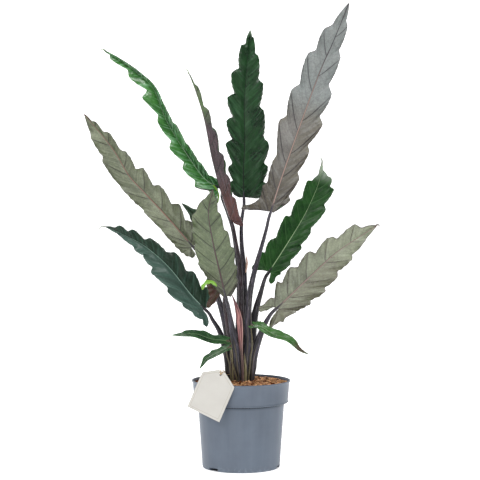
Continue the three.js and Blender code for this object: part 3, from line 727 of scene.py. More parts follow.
    def _fine_grain(self) -> bpy.types.NodeTree:
        """Small even grain with a few larger specks.

        Returns:
            The group.
        """
        graph, given, out = self._group(
            Effect.FINE_GRAIN,
            [("Place", "vector", None), ("Scale", "value", 400.0), ("Specks", "value", 0.3)],
            [("Height", "value"), ("Speck", "value")])
        grain = graph.noise(given["Place"], given["Scale"], 3.0, 0.6)
        fleck = graph.noise(given["Place"], graph.times(given["Scale"], 0.3), 2.0, 0.5)
        bound = graph.minus(0.78, graph.times(given["Specks"], 0.2))
        speck = graph.ramp(fleck, bound, graph.plus(bound, 0.06))
        graph.feed(out, {"Height": graph.plus(grain, graph.times(speck, 0.6)), "Speck": speck})
        return graph.tree


SHELF = EffectShelf()


class Finish:
    """A surface finish that becomes one material."""

    name: str

    def paint(self, graph: Graph, shader: bpy.types.Node) -> None:
        """Joins the finish's nodes to the shader."""
        raise NotImplementedError

    def material(self) -> bpy.types.Material:
        """The finish's material, made once.

        Returns:
            The material.
        """
        known = bpy.data.materials.get(self.name)
        if known:
            return known
        made = bpy.data.materials.new(self.name)
        made.use_nodes = True
        made.node_tree.nodes.clear()
        graph = Graph(made.node_tree)
        shader = graph.add("ShaderNodeBsdfPrincipled")
        graph.add("ShaderNodeOutputMaterial", {0: shader.outputs[0]})
        self.paint(graph, shader)
        return made


def bump(graph: Graph, height: Any, strength: float, depth: float) -> Socket:
    """Normal from a height, with its depth in millimetres."""
    return graph.add("ShaderNodeBump", {"Height": height, "Strength": strength, "Distance": depth * MM}).outputs[0]


@dataclass(frozen=True)
class BladeFinish(Finish):
    """One face of a leaf blade."""

    name: str
    deep: str
    fresh: str
    vein: str
    rib: str
    rim: str
    vein_show: float = 0.6
    net_show: float = 0.15
    net_size: float = 6.0
    # Share of the darker tone beside the veins, partly painted shade, and of the painted shade in the crumple hollows.
    beside_show: float = 0.3
    rim_width: float = 1.5
    rib_width: float = 1.2
    rib_to: float = 2.0
    # Tone of the left half and its share: painted light, a highlight in some finishes and shade in others.
    side: str = ""
    half_light_show: float = 0.0
    hem: str = ""
    # Pale streaky tone and its share: painted glints.
    glint_tone: str = ""
    glint_show: float = 0.0
    glint_stretch: Pair = (0.12, 0.025)
    tip: str = ""
    tip_from: float = 0.8
    foot: str = ""
    foot_to: float = 0.0
    foot_soft: float = 6.0
    patch: float = 28.0
    roughness: float = 0.4
    coat: float = 0.25
    gloss: float = 0.4
    relief: float = 1.0

    def paint(self, graph: Graph, shader: bpy.types.Node) -> None:
        """Joins the blade's nodes to the shader.

        Args:
            graph: The material's graph.
            shader: Its Principled shader.
        """
        place = graph.place()
        rim, share, along = graph.split(graph.attribute("leaf_place"))
        drift = SHELF.drift(graph, place, self.deep, self.fresh, self.patch, 0.5)
        lines = SHELF.put(graph, Effect.VEIN_LINES, {
            "Distances": graph.attribute("leaf_lines"), "Place": place, "Width": 1.05, "Net Size": self.net_size,
            "Rib Width": graph.ramp(share, 0.0, 1.0, self.rib_width, 0.35 * self.rib_width), "Along": along,
            "Glint Row": self.glint_stretch[0], "Glint Side": self.glint_stretch[1]})
        grain = SHELF.grain(graph, place, 700.0, 0.2)
        colour = graph.over(drift["Colour"], *self._tints(graph, lines, rim, share, along),
                            *self._veins(graph, lines, rim))
        rib = graph.mix(graph.ramp(share, self.rib_to, self.rib_to + 0.3), tone(self.rib), tone(self.vein))
        rough = graph.ramp(drift["Mask"], 0.0, 1.0, self.roughness - 0.04, self.roughness + 0.07)
        height = graph.plus(lines["Height"], graph.times(grain["Height"], 0.35))
        graph.feed(shader, {
            "Base Color": graph.mix(lines["Rib"], colour, rib),
            "Roughness": graph.plus(rough, graph.times(grain["Speck"], 0.06)),
            "Specular IOR Level": self.gloss, "Coat Weight": self.coat, "Coat Roughness": 0.26,
            "Normal": bump(graph, height, self.relief, 0.5)})

    def _tints(self, graph: Graph, lines: Any, rim: Socket, share: Socket, along: Socket) -> list[tuple[Socket, str]]:
        """The broad tints that this finish has.

        Args:
            graph: The material's graph.
            lines: The leaf's vein masks.
            rim: Distance from the margin.
            share: Share along the midrib.
            along: Distance along the midrib.

        Returns:
            Share and tone of each tint, the lowest first.
        """
        layers = []
        # Painted light on the left half of the blade.
        if self.side:
            layers.append((graph.times(lines["Left"], self.half_light_show), self.side))
        if self.hem:
            layers.append((graph.ramp(rim, 1.0, 12.0, 0.6, 0.0), self.hem))
        if self.foot:
            near = graph.ramp(along, self.foot_to - self.foot_soft, self.foot_to + self.foot_soft, 1.0, 0.0)
            layers.append((near, self.foot))
        if self.tip:
            layers.append((graph.ramp(share, self.tip_from, min(self.tip_from + 0.16, 1.0)), self.tip))
        # Painted glints in streaks along the side veins.
        if self.glint_tone:
            layers.append((graph.ramp(lines["Glint"], 0.47, 0.66, 0.0, self.glint_show), self.glint_tone))
        return layers

    def _veins(self, graph: Graph, lines: Any, rim: Socket) -> list[tuple[Socket, str]]:
        """The drawing of the veins and the rim, with painted shade in the crumple hollows, along the midrib and partly
        beside the veins.

        Args:
            graph: The material's graph.
            lines: The leaf's vein masks.
            rim: Distance from the margin.

        Returns:
            Share and tone of each layer, the lowest first.
        """
        shows = {"Beside": self.beside_show, "Net": self.net_show, "Fine": 0.35 * self.vein_show,
                 "Vein": self.vein_show}
        # First layer: painted shade in the low places of the crumple bumps.
        return [(graph.ramp(lines["Crumple"], 0.36, 0.6, 0.6 * self.beside_show, 0.0), self.vein),
                *((graph.times(lines[label], show), self.vein) for label, show in shows.items()),
                (graph.ramp(rim, 0.2, self.rim_width, 0.85, 0.0), self.rim),
                # Painted shade along both flanks of the midrib.
                (graph.times(lines["Rib Side Shade"], self.vein_show), self.vein)]


@dataclass(frozen=True)
class StalkFinish(Finish):
    """Skin of a leaf stalk, sheath or shoot, streaked along its length; the pale streaks are partly its own tone and
    partly painted sheen.
    """

    name: str
    dark: str
    streak_and_sheen_tone: str
    low: str
    lip: str
    low_from: float = 0.0
    low_to: float = 60.0
    low_show: float = 0.45
    low_even: float = 0.1
    low_mix: str = ""
    streak: float = 0.6
    fineness: float = 2.6
    speckle: float = 0.15
    speckle_tone: str = "8d8794"
    roughness: float = 0.4
    coat: float = 0.15
    gloss: float = 0.34
    relief: float = 0.5
    # Thin pale lines along the stalk and their tone: painted highlights.
    fibre: float = 0.38
    thin_highlight_tone: str = "a39aa6"

    def paint(self, graph: Graph, shader: bpy.types.Node) -> None:
        """Joins the stalk's nodes to the shader.

        Args:
            graph: The material's graph.
            shader: Its Principled shader.
        """
        place = graph.place()
        height, lip, _ = graph.split(graph.attribute("stem_marks"))
        around = graph.attribute("stem_round")
        streaks = SHELF.streaks(graph, around, self.fineness, 0.012, 0.7)
        fibres = SHELF.streaks(graph, around, 2.2 * self.fineness, 0.008, 0.95)
        patch = SHELF.drift(graph, place, self.low, self.low_mix or self.dark, 90.0, 0.3)
        grain = SHELF.grain(graph, place, 900.0, 0.5)
        # Pale streaks: partly the skin's own, partly painted sheen.
        colour = graph.mix(graph.times(streaks["Mask"], self.streak), tone(self.dark), tone(self.streak_and_sheen_tone))
        # Thin pale lines along the stalk: painted highlights.
        thin = graph.times(graph.ramp(fibres["Height"], 0.55, 0.62), self.fibre)
        colour = graph.over(colour, (thin, self.thin_highlight_tone))
        low = graph.times(graph.ramp(height, self.low_from, self.low_to, self.low_show, 0.0),
                          graph.plus(streaks["Height"], self.low_even), clamp=True)
        colour = graph.mix(low, colour, patch["Colour"])
        relief = graph.plus(streaks["Height"], graph.times(grain["Height"], 0.2))
        graph.feed(shader, {
            "Base Color": graph.over(colour, (graph.times(grain["Speck"], self.speckle), self.speckle_tone),
                                     (lip, self.lip)),
            "Roughness": graph.ramp(streaks["Mask"], 0.0, 1.0, self.roughness, self.roughness + 0.1),
            "Specular IOR Level": self.gloss, "Coat Weight": self.coat, "Coat Roughness": 0.35,
            "Normal": bump(graph, relief, self.relief, 0.6)})


@dataclass(frozen=True)
class PotFinish(Finish):
    """Satin moulded plastic with faint flow lines, dust and handling marks.

    The bounds are places on the pot in metres: wall radius at the foot and its growth upward, where the painted shade
    inside begins, and the painted shadow line under the rim band by its radius and height.
    """

    name: str = "pot_plastic"
    body: str = "5c6470"
    light: str = "67717e"
    mark: str = "89919b"
    # Darker tone of the wall's inside above the mulch: painted shade.
    inside: str = "3a4149"
    # Colour of the painted shadow line under the rim band.
    band_shadow: str = "1f252d"
    wall: Pair = (0.0917, 0.0525)
    inside_shade_from: Pair = (0.130, 0.140)
    band_shadow_radius: Pair = (0.0945, 0.096)
    band_shadow_low: Pair = (0.1348, 0.1375)
    band_shadow_high: Pair = (0.1386, 0.1388)

    def paint(self, graph: Graph, shader: bpy.types.Node) -> None:
        """Joins the plastic's nodes to the shader.

        Args:
            graph: The material's graph.
            shader: Its Principled shader.
        """
        place = graph.place()
        drift = SHELF.drift(graph, place, self.body, self.light, 9.0, 0.1)
        flow = SHELF.streaks(graph, place, 60.0, 0.03, 0.2)
        grain = SHELF.grain(graph, place, 900.0, 0.25)
        x, y, z = graph.split(place)
        reach = graph.reach(x, y)
        scuff = graph.times(graph.ramp(z, 0.001, 0.016, 0.5, 0.0),
                            graph.ramp(graph.noise(place, 170.0, 4.0), 0.5, 0.68))
        wall = graph.plus(self.wall[0], graph.times(z, self.wall[1]))
        # Painted shade on the inside of the wall near the rim.
        inner = graph.times(graph.ramp(graph.minus(wall, reach), 0.0004, 0.0012), graph.ramp(z, *self.inside_shade_from))
        # Painted shadow just under the rim band.
        band_shadow = graph.times(graph.ramp(z, *self.band_shadow_low, 0.0, 0.85), graph.ramp(reach, *self.band_shadow_radius, 1.0, 0.0))
        band_shadow = graph.times(band_shadow, graph.ramp(z, *self.band_shadow_high, 1.0, 0.0))
        height = graph.plus(graph.times(flow["Height"], 0.6), graph.times(grain["Height"], 0.3))
        graph.feed(shader, {
            "Base Color": graph.over(drift["Colour"], (graph.times(flow["Mask"], 0.1), self.mark),
                                     (scuff, self.mark), (inner, self.inside), (band_shadow, self.band_shadow)),
            "Roughness": graph.plus(graph.ramp(drift["Mask"], 0.0, 1.0, 0.36, 0.43), graph.times(scuff, 0.2)),
            "Specular IOR Level": 0.14, "Normal": bump(graph, height, 0.12, 0.3)})


@dataclass(frozen=True)
class MulchFinish(Finish):
    """Bark, coir or peat: two tones in soft patches, with pale fibre streaks and dark specks."""

    name: str
    dark: str
    light: str
    dust: str
    scale: float = 160.0

    def paint(self, graph: Graph, shader: bpy.types.Node) -> None:
        """Joins the mulch's nodes to the shader.

        Args:
            graph: The material's graph.
            shader: Its Principled shader.
        """
        place = graph.place()
        drift = SHELF.drift(graph, place, self.dark, self.light, self.scale, 0.6)
        grain = SHELF.grain(graph, place, 1100.0, 0.7)
        fibre = SHELF.streaks(graph, place, 900.0, 0.4, 0.4)
        graph.feed(shader, {
            "Base Color": graph.over(drift["Colour"], (graph.times(fibre["Mask"], 0.4), self.dust),
                                     (graph.times(grain["Speck"], 0.4), self.dark)),
            "Roughness": graph.ramp(drift["Mask"], 0.0, 1.0, 0.82, 0.95),
            "Normal": bump(graph, graph.plus(fibre["Height"], grain["Height"]), 0.7, 0.8)})


@dataclass(frozen=True)
class CardFinish(Finish):
    """Uncoated card with fibres and a plain thin frame."""

    name: str = "label_card"
    paper: str = "c8c6c0"
    shade: str = "c2bfb9"
    fibre: str = "b9ae9c"
    frame_tone: str = "a49c8d"
    frame_inset: float = 5.0

    def paint(self, graph: Graph, shader: bpy.types.Node) -> None:
        """Joins the card's nodes to the shader.

        Args:
            graph: The material's graph.
            shader: Its Principled shader.
        """
        place = graph.place()
        drift = SHELF.drift(graph, place, self.paper, self.shade, 26.0, 0.1)
        grain = SHELF.grain(graph, place, 1500.0, 0.35)
        edge, front, _ = graph.split(graph.attribute("card_marks"))
        off_line = graph.math("ABSOLUTE", graph.minus(edge, self.frame_inset))
        line = graph.times(graph.ramp(off_line, 0.2, 0.45, 0.8, 0.0), front)
        worn = graph.times(graph.ramp(edge, 0.0, 1.0, 0.4, 0.0), grain["Height"])
        graph.feed(shader, {
            "Base Color": graph.over(drift["Colour"], (graph.times(grain["Speck"], 0.35), self.fibre),
                                     (line, self.frame_tone), (worn, self.fibre)),
            "Roughness": graph.ramp(drift["Mask"], 0.0, 1.0, 0.62, 0.72),
            "Normal": bump(graph, grain["Height"], 0.25, 0.15)})


@dataclass(frozen=True)
class StageFinish(Finish):
    """Pale floor and backdrop of the studio, evenly bright by emission, with a painted shadow under the pot where the
    emission is off.
    """

    name: str = "studio_paper"
    colour: str = "fbfbfb"
    unlit_to: Pair = (0.077, 0.083)

    def paint(self, graph: Graph, shader: bpy.types.Node) -> None:
        """Joins the paper's nodes to the shader, with no emission under the pot as a painted shadow.

        Args:
            graph: The material's graph.
            shader: Its Principled shader.
        """
        x, y, _ = graph.split(graph.place())
        # No emission under the pot: a painted shadow.
        lit = graph.mix(graph.ramp(graph.reach(x, y), *self.unlit_to), tone("000000"), tone("ffffff"))
        graph.feed(shader, {"Emission Color": lit, "Emission Strength": 0.75, "Base Color": tone(self.colour),
                            "Roughness": 0.9})


# ---------------------------------------------------------------- finishes of this plant
# Its pale tip is a painted sheen.
UPPER_DARK = BladeFinish("blade_upper_dark", "0d2913", "1d4420", "081509", "0a110e", "24502a",
                         vein_show=0.5, net_show=0.08, beside_show=0.16, rib_width=0.9, glint_tone="3a6341",
                         glint_show=0.45, tip="7d8f78", tip_from=0.95, roughness=0.3, coat=0.4, gloss=0.25)
# Its lighter left half is a painted highlight.
UPPER_BRIGHT = BladeFinish("blade_upper_bright", "153f18", "34702c", "1b4a2a", "8aa384", "6f9f5c",
                           vein_show=0.4, net_show=0.1, beside_show=0.3, rib_width=0.6, side="4d8d3a",
                           half_light_show=0.4, glint_tone="93c79b", glint_show=0.6, glint_stretch=(0.16, 0.03), roughness=0.22,
                           coat=0.8, gloss=0.35)
UPPER_MIDDLE = BladeFinish("blade_upper_middle", "0e3310", "1f4b1a", "4f7a45", "a3bb90", "326130",
                           vein_show=0.5, net_show=0.08, beside_show=0.08, rib_width=0.9, glint_tone="2f6129",
                           glint_show=0.4, roughness=0.34, coat=0.15, gloss=0.25)
# Its pale cap on the tip is a painted sheen.
UPPER_CAPPED = replace(UPPER_MIDDLE, name="blade_upper_capped", tip="bcc8b8", tip_from=0.83)
# Its pale teal left half is a painted sheen.
UPPER_BLUE = BladeFinish("blade_upper_blue", "0b2011", "142c1b", "3d6152", "87a596", "244f40",
                         vein_show=0.45, net_show=0.06, beside_show=0.06, rib_width=0.9, glint_tone="4c6f62",
                         glint_show=0.25, side="486258", half_light_show=0.75, roughness=0.34, coat=0.3, gloss=0.3)
UPPER_BRONZE = BladeFinish("blade_upper_bronze", "1a3320", "28442b", "4b6440", "3a2822", "3c5a32",
                           vein_show=0.4, beside_show=0.1, rib_width=0.9, foot="42241f", foot_to=26.0,
                           roughness=0.36, coat=0.15)
UNDER_OLIVE = BladeFinish("blade_under_olive", "575e46", "787f66", "231c1f", "7c5549", "262021",
                          glint_tone="8b9379", glint_show=0.35, vein_show=0.75, net_show=0.26, rim_width=1.8,
                          rib_width=1.3, roughness=0.34, coat=0.25, patch=16.0)
# Its warmer, darker left half is painted shade.
UNDER_GREY = BladeFinish("blade_under_grey", "58554f", "777570", "2a232b", "8f776c", "2a252b",
                         glint_tone="929491", glint_show=0.3, vein_show=0.8, net_show=0.22, rim_width=1.9, rib_width=1.5,
                         rib_to=0.5, side="625c4c", half_light_show=0.6, tip="7f8583", tip_from=0.42, hem="6d6955",
                         foot="504a3d", foot_to=80.0, foot_soft=70.0, roughness=0.3, coat=0.35, patch=16.0)
# Its darker left half is painted shade.
UNDER_SAGE = BladeFinish("blade_under_sage", "5b604e", "7b826c", "3c2f31", "7d6860", "2f232b",
                         vein_show=0.65, net_show=0.26, beside_show=0.24, rim_width=2.4, rib_width=1.5, side="67614f",
                         half_light_show=0.4, hem="6a6a57", glint_tone="9ca48e", glint_show=0.35, tip="80866f", tip_from=0.5,
                         roughness=0.3, coat=0.3, patch=18.0)
UNDER_GREEN = BladeFinish("blade_under_green", "495738", "667253", "201a1c", "3f2226", "222018",
                          glint_tone="7c8a67", glint_show=0.3, vein_show=0.8, net_show=0.26, rim_width=1.8, rib_width=1.5,
                          foot="3f3e2e", foot_to=40.0, foot_soft=50.0, roughness=0.32, coat=0.25, patch=18.0)
UNDER_PURPLE = BladeFinish("blade_under_purple", "17090f", "2e151b", "10070c", "1f1318", "2a1a20",
                           vein_show=0.5, net_show=0.1, beside_show=0.5, glint_tone="6d5661", glint_show=0.45,
                           glint_stretch=(0.015, 0.25), roughness=0.2, coat=0.8, gloss=0.35, relief=1.4, tip="4c6638",
                           tip_from=0.6, foot="64403c", foot_to=70.0, foot_soft=50.0)
UNDER_WINE = BladeFinish("blade_under_wine", "3a2d34", "4c3f47", "22181f", "38282f", "3a3436",
                         vein_show=0.55, net_show=0.2, roughness=0.36, coat=0.2)
UPPER_YOUNG = BladeFinish("blade_upper_young", "163a1e", "2a5629", "5c8253", "7f9d72", "41703c",
                          rib_width=0.6, vein_show=0.35, net_show=0.06, beside_show=0.06, roughness=0.26, coat=0.6)
UPPER_YOUNG_TIPPED = replace(UPPER_YOUNG, name="blade_upper_young_tipped", deep="26571f", fresh="3c7029",
                             tip="4c342c", tip_from=0.66)
UNDER_YOUNG = replace(UPPER_YOUNG, name="blade_under_young", deep="4a6a42", fresh="628257", coat=0.1, roughness=0.45)
UNDER_YOUNG_TIPPED = replace(UNDER_YOUNG, name="blade_under_young_tipped", tip="5a4036", tip_from=0.74)
STALK_DARK = StalkFinish("stalk_dark", "060409", "312c39", "43402a", "6f6b54", streak=0.7)
STALK_VIOLET = StalkFinish("stalk_violet", "07060a", "494455", "403d28", "746a58", streak=0.7)
STALK_BROWN = StalkFinish("stalk_brown", "0e0609", "42292f", "463a27", "6c5b4a", streak=0.7)
STALK_BLACK = StalkFinish("stalk_black", "070508", "25212b", "383623", "5c5a46")
STALK_YOUNG = StalkFinish("stalk_young", "4f4a30", "7d7456", "5c5236", "8a8060", streak=0.5, speckle=0.1)
SHEATH_PINK = StalkFinish("sheath_pink", "50232b", "b9807c", "2a1e24", "caa79c", low_from=42.0, low_to=88.0,
                          low_show=1.0, low_even=0.8, low_mix="40302c", streak=0.85, speckle=0.7,
                          speckle_tone="3c1f29", roughness=0.5, coat=0.05, relief=0.6)
SHEATH_DRY = StalkFinish("sheath_dry", "3c3424", "857b5c", "2c2418", "a2987a", streak=0.8, fineness=2.4,
                         speckle=0.4, speckle_tone="2c2219", roughness=0.65, coat=0.0, relief=0.6)
SHEATH_PALE = StalkFinish("sheath_pale", "7d7350", "aea786", "574c32", "c3bb9c", streak=0.7, fineness=2.4,
                          speckle=0.3, speckle_tone="4a3f2a", roughness=0.6, coat=0.0, relief=0.6)
SHEATH_PEACH = StalkFinish("sheath_peach", "c39c8a", "e2c8ba", "7d6a4c", "e3c9b8", streak=0.6, fineness=2.0,
                           speckle=0.2, roughness=0.6, coat=0.0, relief=0.5)
LOBE_CURL = StalkFinish("lobe_curl", "5f9420", "9fcc40", "5f9420", "b7d860", streak=0.5, roughness=0.4)
SHOOT_DARK = StalkFinish("shoot_dark", "19161c", "403a46", "3c3c2a", "5f5a4c")
DRIP_TIP = StalkFinish("drip_tip", "7d8676", "b4bbaa", "7d8676", "b4bbaa", streak=0.4)
DRIP_GREEN = StalkFinish("drip_green", "5f7a48", "8a9c6c", "5f7a48", "8a9c6c", streak=0.4)
DRIP_BROWN = StalkFinish("drip_brown", "463a31", "8c8270", "463a31", "8c8270", streak=0.4)
TWINE_JUTE = StalkFinish("twine_jute", "a98e66", "d6c29c", "8d7450", "d8c6a0", streak=0.8, fineness=3.0,
                         speckle=0.3, speckle_tone="7c6648", roughness=0.9, coat=0.0, relief=0.8)
POT_PLASTIC = PotFinish()
MULCH_BED = MulchFinish("mulch_bed", "150d09", "4e2f1b", "74492a")
MULCH_CHIP = MulchFinish("mulch_chip", "9c5a2b", "f5b87c", "ffecd0", scale=85.0)
MULCH_CHIP_DARK = MulchFinish("mulch_chip_dark", "1e0f08", "70391b", "9c6030", scale=60.0)
COIR = MulchFinish("coir_fibre", "9a6a3c", "d29e62", "ecc794", scale=120.0)
LABEL_CARD = CardFinish()
STUDIO = StageFinish()


# ---------------------------------------------------------------- leaves
@dataclass(frozen=True)
class HalfOutline:
    """Outline of one half of a blade, seen on its upper face, in millimetres from joint and midrib.

    lobe runs from the stalk outward as (past the joint, from the midrib), teeth are (share of the
    midrib, from the midrib), and notch is how deep the margin cuts in between them.
    """

    lobe: tuple[Pair, ...]
    teeth: tuple[Pair, ...]
    notch: float


@dataclass(frozen=True)
class LeafGauge:
    """Measures that go with a leaf's age, in millimetres: half widths, depths, lengths and fineness."""

    rib_joint: float = 3.9
    rib_under: float = 2.2
    tooth_rounding: float = 2.0
    frill_pitch: float = 2.5
    quilt: float = 2.4
    vein_relief: float = 1.0
    stalk_soil: float = 6.2
    stalk_joint: float = 2.7
    stalk_run_in: float = 14.0
    stalk_tail: float = 24.0
    groove_depth: float = 0.2
    stalk_sides: int = 28
    stalk_rings: int = 96


GROWN = LeafGauge()
YOUNG = LeafGauge(rib_joint=1.7, rib_under=1.0, tooth_rounding=0.7, frill_pitch=1.1, quilt=0.35, vein_relief=0.45,
                  stalk_soil=1.7, stalk_joint=1.2, stalk_run_in=8.0, stalk_tail=8.0, groove_depth=0.0,
                  stalk_sides=14, stalk_rings=40)


@dataclass(frozen=True)
class LeafPlan:
    """Everything that shapes and finishes one leaf, in millimetres and degrees."""

    name: str
    foot: Pair
    stalk: tuple[Triple, ...]
    rib: tuple[Triple, ...]
    face: tuple[Triple, Triple]
    left: HalfOutline
    right: HalfOutline
    fold: float
    ripple: float
    drop: float
    upper: BladeFinish
    under: BladeFinish
    skin: StalkFinish
    groove: float = 200.0
    swell: float = 0.45
    crumple: float = 0.9
    frill: float = 0.9
    vein_lead: float = 1.3
    sway: float = 0.0
    gauge: LeafGauge = GROWN
    hook: tuple[Triple, ...] = ()
    hook_wide: float = 1.3
    hook_skin: StalkFinish = DRIP_TIP


@dataclass(frozen=True)
class Margin:
    """Margin of one half as close samples: place along and away from the midrib, wave and length."""

    along: np.ndarray
    away: np.ndarray
    wave: np.ndarray
    arc: np.ndarray
    tips: tuple[float, ...]


class LeafFrame:
    """Frame of a leaf along its midrib: point, direction, upper side and right-hand side."""

    RIB_TIP_UNDERSIDE: ClassVar[float] = 0.5
    RIB_HALF_WIDTH: ClassVar[float] = 0.7
    ARCH: ClassVar[float] = 0.1
    DROOP_REACH: ClassVar[float] = 50.0
    NOTCH_AT: ClassVar[float] = 0.27
    HOLLOW_AT: ClassVar[float] = 0.28
    MARGIN_SPACING: ClassVar[float] = 0.4

    def __init__(self, plan: LeafPlan) -> None:
        """Follows the midrib of a leaf's plan.

        Args:
            plan: The leaf's plan.
        """
        self.plan = plan
        self.route = Route(plan.rib)
        self.length = self.route.length
        self.half = max(away for side in (plan.left, plan.right) for _, away in side.teeth)

    def at(self, distance: np.ndarray) -> tuple[np.ndarray, np.ndarray, np.ndarray, np.ndarray]:
        """Frame at distances from the joint.

        Args:
            distance: Millimetres from the joint, less than 0 behind it.

        Returns:
            Points, tangents, upper-face normals and right-hand directions.
        """
        share = np.clip(distance / self.length, 0.0, 1.0)[..., None]
        tangent = self.route.tangent(distance)
        face = lerp(np.array(self.plan.face[0]), np.array(self.plan.face[1]), share)
        normal = unit(face - tangent * np.sum(face * tangent, axis=-1, keepdims=True))
        right = np.cross(tangent, normal)
        point = self.route.point(distance) + tangent * np.minimum(distance, 0.0)[..., None]
        return point, tangent, normal, right

    def rib_half(self, distance: np.ndarray) -> np.ndarray:
        """Half width of the midrib."""
        share = np.clip(np.asarray(distance, float), 0.0, self.length) / self.length
        return lerp(self.RIB_HALF_WIDTH, self.plan.gauge.rib_joint, (1.0 - share) ** 7) * (1.0 - 0.4 * share)

    def place(self, along: np.ndarray, away: np.ndarray, sign: np.ndarray, wave: np.ndarray) -> np.ndarray:
        """Where places on the blade lie.

        Args:
            along: Distance from the joint along the midrib.
            away: Distance from the midrib.
            sign: 1 on the right half, -1 on the left.
            wave: Height added by waves.

        Returns:
            Points in millimetres.
        """
        point, _, normal, right = self.at(along)
        fold = math.radians(self.plan.fold)
        rib = self.rib_half(along)
        out = np.maximum(away - rib, 0.0)
        droop = self.plan.drop * (np.maximum(-along, 0.0) / self.DROOP_REACH) ** 1.5
        rise = out * math.sin(fold) - self.ARCH * self.half * (out / self.half) ** 2 - droop + wave
        side = sign * (np.minimum(away, rib) + out * math.cos(fold))
        return point + right * side[..., None] + normal * rise[..., None]

    def margin(self, side: HalfOutline) -> Margin:
        """Close samples of one half's margin, with rounded teeth.

        Args:
            side: The half's outline.

        Returns:
            The margin from the stalk to the tip.
        """
        first = (side.teeth[0][0] * self.length, side.teeth[0][1])
        knots = [*side.lobe, first]
        curve = Route([(a, w, 0.0) for a, w in knots], per_span=24)
        count = len(curve.samples)
        lift = [0.4 * math.sin(1.9 * i + 0.5) for i in range(len(side.lobe))] + [self._swing(0)]
        rows = [np.column_stack([curve.samples[:, :2],
                                 np.interp(np.linspace(0, len(knots) - 1, count), range(len(knots)), lift)])]
        ends = list(side.teeth) + [(1.0, float(self.rib_half(self.length)))]
        for i, (start, away) in enumerate(side.teeth):
            stop, next_away = ends[i + 1]
            share = np.linspace(0.0, 1.0, 40)[1:]
            depth = side.notch * (0.8 + 0.5 * start)
            cut = np.where(share < self.NOTCH_AT, 0.5 - 0.5 * np.cos(np.pi * share / self.NOTCH_AT),
                           (np.maximum(1.0 - share, 0.0) / (1.0 - self.NOTCH_AT)) ** 1.9)
            phase = np.where(share < self.HOLLOW_AT, 0.5 * share / self.HOLLOW_AT,
                             0.5 + 0.5 * (share - self.HOLLOW_AT) / (1.0 - self.HOLLOW_AT))
            last = self._swing(i + 1) if i + 1 < len(side.teeth) else 0.0
            rows.append(np.column_stack([
                lerp(start, stop, share) * self.length,
                lerp(away, next_away, share) * (1.0 - depth * cut),
                np.cos(2.0 * np.pi * phase) * lerp(self._swing(i), last, share)]))
        return self._rounded(np.vstack(rows), side)

    def _swing(self, i: int) -> float:
        """Height of the wave at tooth i."""
        return 0.8 + 0.4 * math.sin(2.7 * i + self.half)

    def _rounded(self, rows: np.ndarray, side: HalfOutline) -> Margin:
        """Resamples a margin evenly and rounds its corners.

        Args:
            rows: Along, away and wave at each sample.
            side: The half's outline.

        Returns:
            The finished margin.
        """
        steps = np.hypot(*np.diff(rows[:, :2], axis=0).T)
        arc = np.concatenate([[0.0], np.cumsum(steps)])
        even = np.linspace(0.0, arc[-1], max(int(arc[-1] / self.MARGIN_SPACING), 40))
        table = np.stack([np.interp(even, arc, rows[:, k]) for k in range(3)])
        sigma = self.plan.gauge.tooth_rounding / self.MARGIN_SPACING
        reach = int(3 * sigma)
        kernel = np.exp(-0.5 * (np.arange(-reach, reach + 1) / sigma) ** 2)
        kernel /= kernel.sum()
        padded = np.pad(table, ((0, 0), (reach, reach)), mode="reflect", reflect_type="odd")
        soft = np.stack([np.convolve(row, kernel, mode="valid") for row in padded])
        tips = []
        for station, away in side.teeth:
            gap = np.hypot(table[0] - station * self.length, table[1] - away)
            tips.append(float(even[int(np.argmin(gap))]))
        ragged = 0.3 * self.plan.frill * np.sin(even / 2.1 + 2.0 * np.sin(even / 15.0))
        soft[1] += ragged * smooth_step(0.0, 10.0, even) * (1.0 - smooth_step(0.75, 0.95, even / even[-1]))
        return Margin(soft[0], np.maximum(soft[1], 0.3), soft[2], even, tuple(tips))


